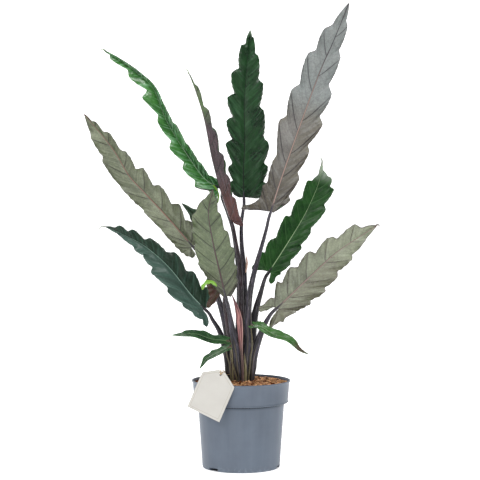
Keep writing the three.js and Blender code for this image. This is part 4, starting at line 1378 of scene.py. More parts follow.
class Blade:
    """Fine two-faced blade of one leaf."""

    VEIN_BEND: ClassVar[float] = 1.25
    HALF_THICKNESS: ClassVar[float] = 0.4
    SPACING: ClassVar[float] = 1.6
    WELD: ClassVar[float] = 0.02 * MM
    VEIN_STEPS: ClassVar[int] = 13
    RIB_COLUMNS: ClassVar[tuple[float, ...]] = (0.0, 0.5, 1.0)
    COLUMNS: ClassVar[tuple[float, ...]] = (0.035, 0.08, 0.14, 0.2, 0.27, 0.34, 0.41, 0.48, 0.55, 0.62, 0.69, 0.76,
                                            0.82, 0.88, 0.93, 0.97, 1.0)

    def __init__(self, leaf: LeafFrame) -> None:
        """Plans the rows and columns of a blade.

        Args:
            leaf: The leaf's frame.
        """
        self.leaf = leaf
        self.margins = {-1: leaf.margin(leaf.plan.left), 1: leaf.margin(leaf.plan.right)}
        leads = {sign: self._leads(margin) for sign, margin in self.margins.items()}
        self.fan = {sign: float(self.margins[sign].arc[int(np.argmax(lead > 0.0))]) for sign, lead in leads.items()}
        self.fan_rows = max(int(max(self.fan.values()) / self.SPACING), 3)
        self.roots = self._root_rows(leads)
        self.rows = self.fan_rows + len(self.roots)
        self.arcs = {sign: self._arc_rows(sign, leads[sign]) for sign in (-1, 1)}
        self.snapped = {sign: self._snap(sign) for sign in (-1, 1)}

    def _leads(self, margin: Margin) -> np.ndarray:
        """Midrib place that each margin sample's row starts from."""
        lead = margin.along - self.leaf.plan.vein_lead * (margin.away - self.leaf.rib_half(margin.along))
        return np.clip(np.maximum.accumulate(lead), 0.0, self.leaf.length)

    def _root_rows(self, leads: dict[int, np.ndarray]) -> np.ndarray:
        """Midrib places of the rows past the fan, closer where the margin runs fast.

        Args:
            leads: Midrib place of each margin sample, for both halves.

        Returns:
            Millimetres from the joint.
        """
        fine = np.linspace(0.0, self.leaf.length, 1200)
        pace = fine.copy()
        for sign, lead in leads.items():
            arc = self.margins[sign].arc
            pace = pace + np.interp(fine, lead + 1e-4 * arc, arc)
        count = max(int(pace[-1] / (2.6 * self.SPACING)), 20)
        return np.interp(np.linspace(pace[0], pace[-1], count + 1)[1:], pace, fine)

    def _arc_rows(self, sign: int, lead: np.ndarray) -> np.ndarray:
        """Margin length at each row of one half.

        Args:
            sign: 1 for the right half, -1 for the left.
            lead: Midrib place of each margin sample.

        Returns:
            Millimetres from the stalk.
        """
        margin = self.margins[sign]
        fan = np.linspace(0.0, self.fan[sign], self.fan_rows, endpoint=False)
        body = np.interp(self.roots, lead + 1e-4 * margin.arc, margin.arc)
        body[-1] = margin.arc[-1]
        return np.concatenate([fan, np.maximum(body, self.fan[sign])])

    def _snap(self, sign: int) -> list[int]:
        """Moves the nearest row of one half to each tooth.

        Args:
            sign: 1 for the right half, -1 for the left.

        Returns:
            The row of each tooth.
        """
        arcs = self.arcs[sign]
        rows = []
        for tip in self.margins[sign].tips:
            row = int(np.clip(np.argmin(np.abs(arcs - tip)), 1, self.rows - 2))
            if arcs[row - 1] < tip < arcs[row + 1]:
                arcs[row] = tip
            rows.append(row)
        return rows

    def _half(self, sign: int) -> dict[str, np.ndarray]:
        """Every point of one half as rows by columns.

        Args:
            sign: 1 for the right half, -1 for the left.

        Returns:
            Tables of the place along and away from the midrib, the wave, the distance to the side
            veins, to the fine veins and to the margin, and the share of the way to the margin.
        """
        margin, leaf = self.margins[sign], self.leaf
        arcs = self.arcs[sign]
        edge = {key: np.interp(arcs, margin.arc, getattr(margin, key)) for key in ("along", "away", "wave")}
        root = np.concatenate([np.zeros(self.fan_rows), self.roots])
        rib = leaf.rib_half(root)
        share = np.array([0.0] * len(self.RIB_COLUMNS) + list(self.COLUMNS))
        along = lerp(root[:, None], edge["along"][:, None], share[None, :] ** self.VEIN_BEND)
        away = lerp(rib[:, None], edge["away"][:, None], share[None, :])
        for column, part in enumerate(self.RIB_COLUMNS):
            away[:, column] = rib * part
            along[:, column] = root
        away[-1, :] = np.minimum(away[-1, :], edge["away"][-1])
        wave = edge["wave"][:, None] * leaf.plan.ripple * share[None, :] ** 1.6
        wave = wave + self._frill(arcs, float(margin.arc[-1]))[:, None] * share[None, :] ** 4
        vein, fine = self._vein_distances(sign, along, away, root, rib, edge)
        rim = np.hypot(along - edge["along"][:, None], away - edge["away"][:, None])
        return {"along": along, "away": away, "wave": wave, "vein": vein, "fine": fine, "rim": rim,
                "share": np.broadcast_to(share, along.shape)}

    def _frill(self, arcs: np.ndarray, whole: float) -> np.ndarray:
        """Height of the small ruffles at each row's end on the margin.

        Args:
            arcs: Margin length at each row.
            whole: Length of the whole margin.

        Returns:
            Heights in millimetres, none at both ends of the margin.
        """
        plan = self.leaf.plan
        fade = smooth_step(0.0, 14.0, arcs) * (1.0 - smooth_step(0.8, 1.0, arcs / whole))
        slow = np.sin(arcs / 23.0 + self.leaf.half)
        fade = fade * (2.0 - smooth_step(20.0, 90.0, arcs))
        return plan.frill * fade * (1.0 + 0.6 * slow) * np.sin(arcs / plan.gauge.frill_pitch + 1.6 * slow)

    def _vein_distances(self, sign: int, along: np.ndarray, away: np.ndarray, root: np.ndarray, rib: np.ndarray,
                        edge: dict[str, np.ndarray]) -> tuple[np.ndarray, np.ndarray]:
        """Distances to the side veins and to the finer ones between them.

        Args:
            sign: 1 for the right half, -1 for the left.
            along: Place along the midrib of each point.
            away: Distance of each point from it.
            root: Midrib place of each row.
            rib: Midrib half width of each row.
            edge: Margin place of each row.

        Returns:
            Two tables in millimetres.
        """
        lobe_row = int(np.argmax(np.where(np.arange(self.rows) < self.fan_rows, edge["away"] - edge["along"], -1e9)))
        main = sorted({lobe_row, *self.snapped[sign]})
        minor = []
        for low, high in zip(main, main[1:]):
            minor += [round(lerp(low, high, 0.36)), round(lerp(low, high, 0.7))]
        tables = []
        for rows in (main, minor):
            best = np.full(along.shape, 99.0)
            for row in rows:
                if edge["away"][row] < 4.0:
                    continue
                steps = np.linspace(0.0, 0.96, self.VEIN_STEPS)
                line_along = lerp(root[row], edge["along"][row], steps**self.VEIN_BEND)
                line_away = lerp(rib[row], edge["away"][row], steps)
                for k in range(len(steps) - 1):
                    start = np.array([line_along[k], line_away[k]])
                    way = np.array([line_along[k + 1], line_away[k + 1]]) - start
                    part = ((along - start[0]) * way[0] + (away - start[1]) * way[1]) / float(way @ way)
                    part = np.clip(part, 0.0, 1.0)
                    gap = np.hypot(along - start[0] - part * way[0], away - start[1] - part * way[1])
                    best = np.minimum(best, gap + 0.3 * steps[k] ** 2)
            tables.append(best)
        return tables[0], tables[1]

    def build(self) -> Piece:
        """Models the blade.

        Returns:
            The dressed object.
        """
        plan, leaf = self.leaf.plan, self.leaf
        left, right = self._half(-1), self._half(1)
        table = {key: np.hstack([left[key][:, :0:-1], right[key]]) for key in left}
        sides = np.ones(table["along"].shape)
        sides[:, :left["along"].shape[1] - 1] = -1.0
        rows, columns = sides.shape
        sheet, across, up = add_grid(plan.name + "_blade_fine", columns - 1, rows - 1)
        column = np.rint(across * (columns - 1)).astype(int)
        row = np.rint(up * (rows - 1)).astype(int)
        picked = {key: value[row, column] for key, value in table.items()}
        sign, along = sides[row, column], picked["along"]
        flat = np.column_stack([along, picked["away"] * sign, np.full(len(sign), 7.0 * leaf.half)])
        loose = smooth_step(0.1, 0.5, picked["share"]) * smooth_step(0.0, 4.0, picked["rim"])
        quilt = self._quilt(picked)
        quilt = quilt + plan.crumple * (ripple_at(flat, 14.0) + 0.22 * ripple_at(flat, 6.5, 4.0)) * loose
        quilt = quilt + plan.sway * np.sin(12.0 * along / leaf.length + 0.6) * (along > 0)
        set_points(sheet, leaf.place(along, picked["away"], sign, picked["wave"] + quilt))
        note(sheet, "leaf_lines", np.column_stack([picked["vein"], picked["fine"], picked["away"] * sign]))
        note(sheet, "leaf_place", np.column_stack([picked["rim"], along / leaf.length, along]))
        with editing(sheet):
            bpy.ops.mesh.select_all(action="SELECT")
            bpy.ops.mesh.remove_doubles(threshold=self.WELD)
            bpy.ops.mesh.dissolve_degenerate(threshold=self.WELD)
            bpy.ops.mesh.select_all(action="DESELECT")
        single = len(sheet.data.vertices)
        dress(sheet, plan.upper, plan.under)
        with_modifier(sheet, "SOLIDIFY", thickness=2.0 * self.HALF_THICKNESS * MM, offset=0.0, use_rim=True,
                      material_offset=1, material_offset_rim=1)
        self._raise_veins(sheet, single)
        return sheet

    def _quilt(self, picked: dict[str, np.ndarray]) -> np.ndarray:
        """Swelling of the blade between its veins, none at rib and margin.

        Args:
            picked: Distances of each point from the veins, the margin and the midrib.

        Returns:
            Heights in millimetres.
        """
        swell = 1.0 - np.exp(-((picked["vein"] / 7.0) ** 2))
        fade = smooth_step(0.0, 9.0, picked["rim"]) * smooth_step(0.04, 0.3, picked["share"])
        return self.leaf.plan.gauge.quilt * swell * fade

    def _raise_veins(self, sheet: Piece, single: int) -> None:
        """Rounds the midrib and the side veins out of the underside and sinks them a little above.

        Args:
            sheet: The two-faced blade.
            single: Number of points on one face.
        """
        points = points_of(sheet) / MM
        (vein, _, away), (rim, share, along) = (
            rows_of(sheet.data.attributes[name].data, "vector", np.float32)[:single].T
            for name in ("leaf_lines", "leaf_place"))
        rib = np.abs(away) / self.leaf.rib_half(along)
        first, second = points[:single], points[single:2 * single]
        down = unit(second - first)
        upward = float(np.mean(np.sum(down * self.leaf.at(np.zeros(1))[2][0], axis=1)))
        under, over = (second, first) if upward < 0 else (first, second)
        down = down if upward < 0 else -down
        scale = self.leaf.plan.gauge.vein_relief
        inside = scale * smooth_step(0.0, 8.0, rim)
        depth = lerp(self.leaf.plan.gauge.rib_under, LeafFrame.RIB_TIP_UNDERSIDE, np.clip(share, 0, 1))
        ridge = np.maximum(depth - self.HALF_THICKNESS, 0.0) * np.sqrt(np.clip(1.0 - (rib / 1.7) ** 2, 0.0, 1.0))
        side = 0.7 * inside * np.exp(-((vein / 0.9) ** 2))
        under += down * np.maximum(ridge, side)[:, None]
        sunk = 0.3 * inside * np.exp(-((vein / 1.3) ** 2))
        groove = 0.35 * scale * np.clip(1.0 - rib, 0.0, 1.0)
        over += down * np.maximum(groove, sunk)[:, None]
        set_points(sheet, points)


# ---------------------------------------------------------------- stems
SOIL_EDGE = 177.0
SOIL_RISE = 10.0
PLANTING_DEPTH = 36.0
ABOVE_LOW_TINT = 90.0


def listed(values: Sequence[float]) -> Callable[[np.ndarray], np.ndarray]:
    """A width by the share along a stem, read from an even list."""
    return lambda share: np.interp(share, np.linspace(0, 1, len(values)), values)


@dataclass
class Stem:
    """Stem that stands upright in the mulch and then follows its route."""

    BURIED_RINGS: ClassVar[int] = 8
    SPARE: ClassVar[float] = 4.0
    GROOVE_WIDTH: ClassVar[float] = 0.42
    LIP_AT: ClassVar[float] = 0.62
    LIP_WIDTH: ClassVar[float] = 0.09
    LIP_HEIGHT: ClassVar[float] = 0.09

    name: str
    foot: Pair
    route: Sequence[Sequence[float]]
    skin: StalkFinish
    radius: Callable[[np.ndarray], np.ndarray]
    depth: Callable[[np.ndarray], np.ndarray] | None = None
    groove: float = 200.0
    groove_depth: float = 0.2
    groove_to: float = 0.5
    swell: float = 0.0
    sides: int = 24
    rings: int = 90
    tail: np.ndarray | None = None
    tail_radius: np.ndarray | None = None

    def build(self) -> Piece:
        """Models the stem.

        Returns:
            The dressed object.
        """
        way = Route([(*self.foot, SOIL_EDGE + SOIL_RISE + self.SPARE), *self.route])
        spots = np.concatenate([np.linspace(-PLANTING_DEPTH - self.SPARE, 0.0, self.BURIED_RINGS, endpoint=False),
                                np.linspace(0.0, way.length, self.rings)])
        centres, tangents = way.point(spots), way.tangent(spots)
        centres[:, 2] += np.minimum(spots, 0.0)
        tangents[:self.BURIED_RINGS + 1] = (0.0, 0.0, 1.0)
        share = np.clip(spots / way.length, 0.0, 1.0)
        open_sheath = smooth_step(0.0, 0.16, share) * (1.0 - 0.75 * smooth_step(0.45, 1.0, share))
        wide = self.radius(share) * (1.0 + self.swell * open_sheath)
        deep = (self.depth or self.radius)(share) * (1.0 + 0.3 * self.swell * open_sheath)
        if self.tail is not None:
            centres = np.vstack([centres, self.tail])
            tangents = np.vstack([tangents, unit(np.gradient(self.tail, axis=0))])
            wide, deep = (np.concatenate([half, self.tail_radius]) for half in (wide, deep))
            share = np.concatenate([share, np.ones(len(self.tail))])
            spots = np.concatenate([spots, np.full(len(self.tail), way.length)])
        rod = Rod(self.name, self.sides, len(centres))
        spots, share = spots[rod.ring], share[rod.ring]
        lips, reach = self._section(rod, share)
        rod.lay(centres, tangents, rod.around(wide[rod.ring] * reach, deep[rod.ring] * reach))
        rod.mark(spots, lips, share, spots)
        dress(rod.piece, self.skin)
        return rod.piece

    def _section(self, rod: Rod, share: np.ndarray) -> tuple[np.ndarray, np.ndarray]:
        """The skin's section, with the sheath's open groove and its two lips.

        Args:
            rod: The rod that gets it.
            share: Share along the stem of each of its points.

        Returns:
            How much of the lips shows at each point, and how far out it lies to the half width.
        """
        away = np.abs((rod.turn - math.radians(self.groove) + np.pi) % (2.0 * np.pi) - np.pi)
        hold = 1.0 - smooth_step(self.groove_to * 0.6, self.groove_to, share)
        lips = hold * np.exp(-(((away - self.LIP_AT) / self.LIP_WIDTH) ** 2)) * (rod.part > 0.5)
        groove = self.groove_depth * hold * np.exp(-((away / self.GROOVE_WIDTH) ** 2))
        reach = 1.0 - groove + self.LIP_HEIGHT * lips
        return lips, reach * (1.0 + 0.025 * np.sin(5.0 * rod.turn + 2.0 * share))


class Leaf:
    """One leaf: blade, stalk and, where it has one, the hooked end of its tip."""

    def __init__(self, plan: LeafPlan) -> None:
        """Keeps the leaf's plan and its frame."""
        self.plan = plan
        self.frame = LeafFrame(plan)

    def build(self) -> None:
        """Models the leaf and hands its pieces over."""
        blade, stalk = self.plan.name + "_blade", self.plan.name + "_stalk"
        hand_over(Blade(self.frame).build(), 50.0, blade, blade)
        hand_over(self._stalk(), 60.0, stalk, stalk)
        if self.plan.hook:
            hand_over(self._hook(), 35.0, blade)

    def _stalk(self) -> Piece:
        """Stalk that runs into the underside of the midrib.

        Returns:
            The dressed object.
        """
        plan, gauge = self.plan, self.plan.gauge
        point, tangent, normal, _ = (value[0] for value in self.frame.at(np.zeros(1)))
        end = point - 0.3 * tangent - 0.4 * gauge.rib_under * normal
        before = end - gauge.stalk_run_in * tangent
        reach = np.linspace(0.6, gauge.stalk_tail, 12)
        points, _, normals, _ = self.frame.at(reach)
        share = reach / reach[-1]
        sink = lerp(0.4, 0.62, share) * gauge.rib_under
        return Stem(
            name=plan.name + "_stalk_fine", foot=plan.foot, route=[*plan.stalk, before, end], skin=plan.skin,
            radius=lambda spot: (lerp(gauge.stalk_soil, gauge.stalk_joint, spot**0.9)
                                 * (1.0 + 0.06 * smooth_step(0.93, 1.0, spot))),
            groove=plan.groove, groove_depth=gauge.groove_depth, swell=plan.swell, sides=gauge.stalk_sides,
            rings=gauge.stalk_rings, tail=points - normals * sink[:, None],
            tail_radius=gauge.stalk_joint * lerp(1.0, 0.22, share**0.8)).build()

    def _hook(self) -> Piece:
        """Thin pale hook at the end of the tip.

        Returns:
            The dressed object.
        """
        way = Route(self.plan.hook)
        spots = np.linspace(0.0, way.length, 20)
        rod = Rod(self.plan.name + "_drip_tip", 8, len(spots))
        section = rod.around(lerp(self.plan.hook_wide, 0.4, rod.share))
        rod.lay(way.point(spots), way.tangent(spots), section, (0.1, 1.0, 0.2))
        rod.mark(ABOVE_LOW_TINT, 0.0, rod.share, 20.0 * rod.share)
        dress(rod.piece, self.plan.hook_skin)
        return rod.piece


@dataclass(frozen=True)
class SheathScrap:
    """Thin curled strip of sheath or lobe that clings to the clump."""

    name: str
    route: tuple[Triple, ...]
    half_width: tuple[float, ...]
    skin: StalkFinish
    slot: str = "new_leaf_sheath"

    def build(self) -> Piece:
        """Models the strip as a thin crescent with a creased edge.

        Returns:
            The dressed object.
        """
        way = Route(self.route)
        spots = np.linspace(0.0, way.length, 36)
        rod = Rod(self.name, 18, len(spots))
        wide = listed(self.half_width)(rod.share)
        side = rod.part * np.cos(rod.turn)
        x = side * wide * (1.0 + 0.12 * np.sin(23.0 * rod.share + 2.0 * np.cos(rod.turn)))
        y = rod.part * np.minimum(0.45, wide) * np.sin(rod.turn) + 0.3 * wide * side**2
        rod.lay(way.point(spots), way.tangent(spots), np.column_stack([x, y]))
        along = way.length * rod.share
        lip = 0.4 * (np.abs(np.cos(rod.turn)) > 0.93)
        rod.mark(self.route[0][2] - SOIL_EDGE + along, lip, rod.share, along, 2.0)
        dress(rod.piece, self.skin)
        return rod.piece


@dataclass
class NewGrowth:
    """Pink papery sheath, dark shoot and the dried sheaths at the foot of the clump."""

    sheath_foot: Pair = (3.0, -29.0)
    sheath_route: tuple[Triple, ...] = ((2, -31, 222), (0, -32, 252), (-4, -32, 315), (-11, -31, 346), (-19, -30, 367))
    sheath_wide: tuple[float, ...] = (3, 3, 3, 3.3, 4, 5.2, 6.3, 6.5, 5, 2.8, 0.7)
    sheath_deep: tuple[float, ...] = (2.4, 2.2, 2, 1.8, 1.6, 1.2, 0.6)
    shoot_foot: Pair = (13.0, 18.0)
    shoot_route: tuple[Triple, ...] = ((13, 19, 250), (12, 20, 320), (11.5, 20, 370), (11.5, 20, 398))
    shoot_wide: tuple[float, ...] = (4.2, 4, 3.6, 3, 2.2, 0.5)

    scraps: tuple[SheathScrap, ...] = (
        SheathScrap("peach_sheath_tip", ((9.5, 5, 412), (11.5, 4.5, 422), (12.5, 4.5, 434), (10.5, 4, 450)),
                    (1.0, 2.2, 2.0, 0.3), SHEATH_PEACH),
        SheathScrap("dry_sheath_left", ((-17, -24.5, 185), (-18, -25, 225), (-20.5, -26, 262), (-24, -28, 288)),
                    (1.3, 1.2, 1.0, 0.2), SHEATH_PALE),
        SheathScrap("dry_sheath_middle", ((9, -24.5, 184), (9.5, -25, 206), (8.5, -26, 226), (7, -27, 244)),
                    (3.4, 3.2, 2.0, 0.2), SHEATH_PALE),
        SheathScrap("dry_sheath_right", ((27, -15, 186), (29, -16, 210), (33, -18, 232), (37, -20, 248)),
                    (2.2, 2.0, 1.4, 0.2), SHEATH_DRY),
        SheathScrap("bright_lobe_curl", ((-80, -86, 382), (-77, -89, 391), (-69, -92, 397.5), (-59, -92, 397),
                                         (-50, -91, 389)), (1.6, 4.2, 3.0, 5.0, 3.2, 3.8, 0.7), LOBE_CURL),
        SheathScrap("bright_lobe_loop", ((-59, 12, 598), (-52, 9, 588), (-48, 7, 572), (-52, 7, 560), (-58, 9, 563)),
                    (1.8, 1.6, 2.4, 1.6, 2.0, 0.5), LOBE_CURL, "leaf_02_upper_left_blade"),
    )

    def build(self) -> None:
        """Models the new growth and hands it over."""
        sheath = Stem("new_leaf_sheath_fine", self.sheath_foot, self.sheath_route, SHEATH_PINK,
                      listed(self.sheath_wide), listed(self.sheath_deep), groove=300.0, groove_depth=0.45,
                      groove_to=1.0, sides=28, rings=70)
        hand_over(sheath.build(), 60.0, "new_leaf_sheath", "new_leaf_sheath")
        shoot = Stem("new_shoot_fine", self.shoot_foot, self.shoot_route, SHOOT_DARK, listed(self.shoot_wide),
                     groove=250.0, groove_depth=0.3, groove_to=1.0)
        hand_over(shoot.build(), 60.0, "new_shoot", "new_shoot")
        for scrap in self.scraps:
            hand_over(scrap.build(), 60.0, scrap.slot)


# ---------------------------------------------------------------- pot, mulch, card, twine
@dataclass
class NurseryPot:
    """Moulded pot: stepped rim band, gutter with drain holes and foot notches."""

    height: float = 185.0
    rim: float = 105.0
    band_top: float = 102.8
    band_low: float = 99.6
    band_depth: float = 46.0
    body_top: float = 91.8
    body_low: float = 82.4
    wall: float = 1.5
    disc: float = 62.0
    gutter: float = 76.0
    gutter_height: float = 7.0
    drains: int = 9
    drain_radius: float = 4.0
    notches: int = 3
    notch: Triple = (30.0, 26.0, 12.8)
    sides: int = 144

    def profile(self) -> list[Pair]:
        """The section of the pot, from the underside up and over the rim to the inside.

        Returns:
            Radius and height of each ring.
        """
        low = self.height - self.band_depth
        return [
            (self.disc, 0), (self.disc + 1, self.gutter_height), (self.gutter - 1, self.gutter_height),
            (self.gutter, 0), (self.body_low - 2, 0), (self.body_low - 1.1, 0.35), (self.body_low - 0.5, 1.2),
            (self.body_low, 3.5), (lerp(self.body_low, self.body_top, 0.5), 70.0),
            (self.body_top, low - 1.5), (self.body_top + 0.9, low - 0.7), (self.band_low - 0.4, low - 0.6),
            (self.band_low + 0.5, low - 0.3), (self.band_low + 0.9, low + 0.2), (self.band_low + 0.9, low + 1.5),
            (self.band_low + 0.45, low + 2.0), (self.band_low, low + 2.4),
            (lerp(self.band_low, self.band_top, 0.5), low + 22), (self.band_top, self.height - 3.9),
            (self.band_top + 0.4, self.height - 3.3), (self.rim - 0.3, self.height - 2.4),
            (self.rim, self.height - 1.9), (self.rim, self.height - 0.8), (self.rim - 0.25, self.height - 0.25),
            (self.rim - 0.8, self.height), (self.rim - 2.2, self.height), (self.rim - 2.7, self.height - 0.3),
            (self.band_top - self.wall + 0.2, self.height - 3.2), (self.band_top - self.wall, self.height - 4),
            (self.band_low - self.wall, low + 2), (self.body_top - self.wall, low - 1),
            (self.body_low - self.wall, self.gutter_height + 4), (self.gutter + 1, self.gutter_height + 2),
            (self.disc - 1, self.gutter_height + 2), (self.disc - 2, 2),
        ]

    def build(self) -> None:
        """Models the pot and hands it over."""
        pot = turned_body("nursery_pot_fine", self.profile(), self.sides)
        cut_away(pot, join("pot_cutter", self._tools()))
        dress(pot, POT_PLASTIC)
        hand_over(pot, 32.0, "nursery_pot", "nursery_pot")

    def _tools(self) -> list[Piece]:
        """Blocks that cut the foot notches and rods that cut the drain holes.

        Returns:
            The tools in their places.
        """
        tools = []
        for k in range(self.notches):
            tools.append(add_primitive(f"notch_tool_{k}", bpy.ops.mesh.primitive_cube_add, size=1.0))
            self._set_tool(tools[-1], self.notch, (self.gutter + 14.0, 0.0, 0.0), 360 / self.notches * k - 135)
        for k in range(self.drains):
            tools.append(add_primitive(f"drain_tool_{k}", bpy.ops.mesh.primitive_cylinder_add, vertices=28,
                                       radius=1.0, depth=1.0))
            self._set_tool(tools[-1], (self.drain_radius, self.drain_radius, 20.0),
                           ((self.disc + self.gutter) / 2.0, 0.0, 11.0), 360 / self.drains * (k + 0.5))
        return tools

    @staticmethod
    def _set_tool(tool: Piece, size: Triple, middle: Triple, degrees: float) -> None:
        """Gives a cutting tool its size and place.

        Args:
            tool: A shape of unit size.
            size: What its sides are drawn out to, in millimetres.
            middle: Where its middle comes before it is turned.
            degrees: Turn round the pot's axis.
        """
        x, y, z = (points_of(tool) * size + middle).T
        cos, sin = math.cos(math.radians(degrees)), math.sin(math.radians(degrees))
        set_points(tool, np.column_stack([x * cos - y * sin, x * sin + y * cos, z]))


def mulch_height(x: np.ndarray, y: np.ndarray) -> np.ndarray:
    """Height of the mulch: a low mound with loose lumps on it.

    Args:
        x: Places to the right of the pot's axis.
        y: Places behind it.

    Returns:
        Height of each place in millimetres.
    """
    mound = SOIL_RISE * np.maximum(0.0, 1.0 - np.hypot(x, y) / 96.0) ** 0.8
    lumps = np.sin(0.21 * x + 1.3) * np.sin(0.19 * y + 0.4) + 0.7 * np.sin(0.43 * x - 0.37 * y)
    return SOIL_EDGE + mound + 1.3 * lumps


@dataclass
class BarkMulch:
    """Mulch bed that fills the pot, with loose bark chips and coir fibres on top."""

    pot: NurseryPot
    stems: Sequence[Pair]
    chips: int = 900
    chip_reach: float = 96.0
    chip_length: Pair = (4.0, 12.0)
    chip_width: Pair = (1.6, 4.5)
    chip_height: Pair = (0.9, 2.4)
    fibres: int = 700
    fibre_reach: float = 95.0
    fibre_length: Pair = (5.0, 16.0)
    fibre_thickness: Pair = (0.16, 0.4)
    stem_clearance: float = 7.5
    sides: int = 112
    top_rings: int = 44
    seed: int = 11

    def build(self) -> None:
        """Models the mulch and hands it over."""
        bed = self._bed()
        dress(bed, MULCH_BED)
        hand_over(bed, 70.0, "bark_mulch", "bark_mulch")
        dice = np.random.default_rng(self.seed)
        for name, count, finish in (("bark_chips", self.chips, MULCH_CHIP),
                                    ("bark_chips_dark", self.chips // 2, MULCH_CHIP_DARK)):
            chips = self._scattered_chips(name, count, dice)
            dress(chips, finish)
            hand_over(chips, 40.0, "bark_mulch")
        fibres = self._scattered_fibres(dice)
        dress(fibres, COIR)
        hand_over(fibres, 60.0, "bark_mulch")

    def _bed(self) -> Piece:
        """Closed body of the mulch with a rough top.

        Returns:
            The new object.
        """
        pot = self.pot
        low = pot.height - pot.band_depth
        inner = pot.wall + 0.3
        edge = lerp(pot.band_low, pot.band_top, (SOIL_EDGE - low) / pot.band_depth) - inner - 0.2
        rings = [(pot.disc - 2.6, 2.3), (pot.disc - 1.6, pot.gutter_height + 2.3),
                 (pot.gutter + 0.8, pot.gutter_height + 2.3), (pot.body_low - inner - 0.3, pot.gutter_height + 4.2),
                 (pot.body_top - inner - 0.1, low - 0.6), (pot.band_low - inner - 0.3, low + 2.6)]
        rings += [(edge * (1.0 - k / self.top_rings), SOIL_EDGE) for k in range(self.top_rings)]
        bed = turned_body("bark_mulch_bed", rings, self.sides)
        points = points_of(bed) / MM
        top = points[:, 2] > SOIL_EDGE - 0.01
        high = points[top]
        crumbs = 1.1 * ripple_at(high * (1, 1, 0), 7.0, 3.0) + 0.9 * ripple_at(high * (1, 1, 0), 3.2, 8.0)
        fade = smooth_step(0.0, 6.0, edge - np.hypot(high[:, 0], high[:, 1]))
        points[top, 2] = mulch_height(high[:, 0], high[:, 1]) + crumbs * fade
        set_points(bed, points)
        return bed

    def _spots(self, dice: np.random.Generator, count: int, reach: float) -> np.ndarray:
        """Random places on the mulch clear of the stalks.

        Args:
            dice: Source of chance.
            count: Number of places.
            reach: Largest distance from the pot's axis.

        Returns:
            Places as x and y in millimetres.
        """
        feet = np.array(self.stems)
        found: list[np.ndarray] = []
        while len(found) < count:
            spot = dice.uniform(-reach, reach, 2)
            if np.hypot(*spot) < reach and np.min(np.hypot(*(feet - spot).T)) > self.stem_clearance:
                found.append(spot)
        return np.array(found)

    def _scattered_chips(self, name: str, count: int, dice: np.random.Generator) -> Piece:
        """Bark chips: one bevelled splinter, copied at many sizes and turns.

        Args:
            name: Name of the piece.
            count: Number of chips.
            dice: Source of chance.

        Returns:
            All chips as one object.
        """
        chip = add_primitive(name, bpy.ops.mesh.primitive_cube_add, size=1.0)
        with editing(chip, "EDGE") as shape:
            for edge in shape.edges:
                edge.select_set(abs(edge.verts[0].co.x - edge.verts[1].co.x) > 0.5)
            bmesh.update_edit_mesh(chip.data)
            bpy.ops.mesh.subdivide(number_cuts=2)
            bpy.ops.mesh.select_all(action="SELECT")
            bpy.ops.mesh.bevel(offset=0.12, segments=1, affect="EDGES")
        raw = points_of(chip)
        places = []
        for spot in self._spots(dice, count, self.chip_reach):
            size = np.array([dice.uniform(*span) for span in (self.chip_length, self.chip_width, self.chip_height)])
            shape = raw * size
            shape[:, 2] += 0.5 * np.sin(raw[:, 0] * 3.0 + dice.uniform(0, 6))
            shape[:, 1] *= 1.0 - 0.6 * np.abs(raw[:, 0]) ** 1.5
            shape += 0.18 * np.sin(raw * 17.0 + dice.uniform(0, 6, 3)) * size[1] * 0.4
            places.append(self._laid(shape, spot, dice, 0.5))
        return copies(chip, places, name)

    @staticmethod
    def _laid(shape: np.ndarray, spot: np.ndarray, dice: np.random.Generator, tilt: float) -> np.ndarray:
        """A small shape turned, tilted and set on the mulch.

        Args:
            shape: Its points round the origin.
            spot: Where it comes to lie.
            dice: Source of chance.
            tilt: How much it tilts, in radians.

        Returns:
            Its points in their places.
        """
        yaw, roll, pitch = dice.uniform(0, 2 * math.pi), dice.normal(0, tilt), dice.normal(0, tilt * 0.5)
        x, y, z = shape.T
        y, z = y * math.cos(roll) - z * math.sin(roll), y * math.sin(roll) + z * math.cos(roll)
        x, z = x * math.cos(pitch) + z * math.sin(pitch), -x * math.sin(pitch) + z * math.cos(pitch)
        x, y = x * math.cos(yaw) - y * math.sin(yaw), x * math.sin(yaw) + y * math.cos(yaw)
        ground = float(mulch_height(np.array(spot[0]), np.array(spot[1])))
        return np.column_stack([x + spot[0], y + spot[1], z + ground + dice.uniform(-0.3, 1.8)])

    def _scattered_fibres(self, dice: np.random.Generator) -> Piece:
        """Coir fibres: one thin strand, copied in many bends.

        Args:
            dice: Source of chance.

        Returns:
            All fibres as one object.
        """
        strand = Rod("coir_fibres", 4, 6).piece
        x, y, along = points_of(strand).T
        arch = np.sin(along * math.pi)
        places = []
        for spot in self._spots(dice, self.fibres, self.fibre_reach):
            length, thick = dice.uniform(*self.fibre_length), dice.uniform(*self.fibre_thickness)
            bend = dice.normal(0, 1.6) * arch + dice.normal(0, 0.8) * np.sin(along * 6.0)
            shape = np.column_stack([(along - 0.5) * length, x * thick + bend, y * thick + 1.2 * arch])
            places.append(self._laid(shape, spot, dice, 0.22))
        return copies(strand, places, "coir_fibres")


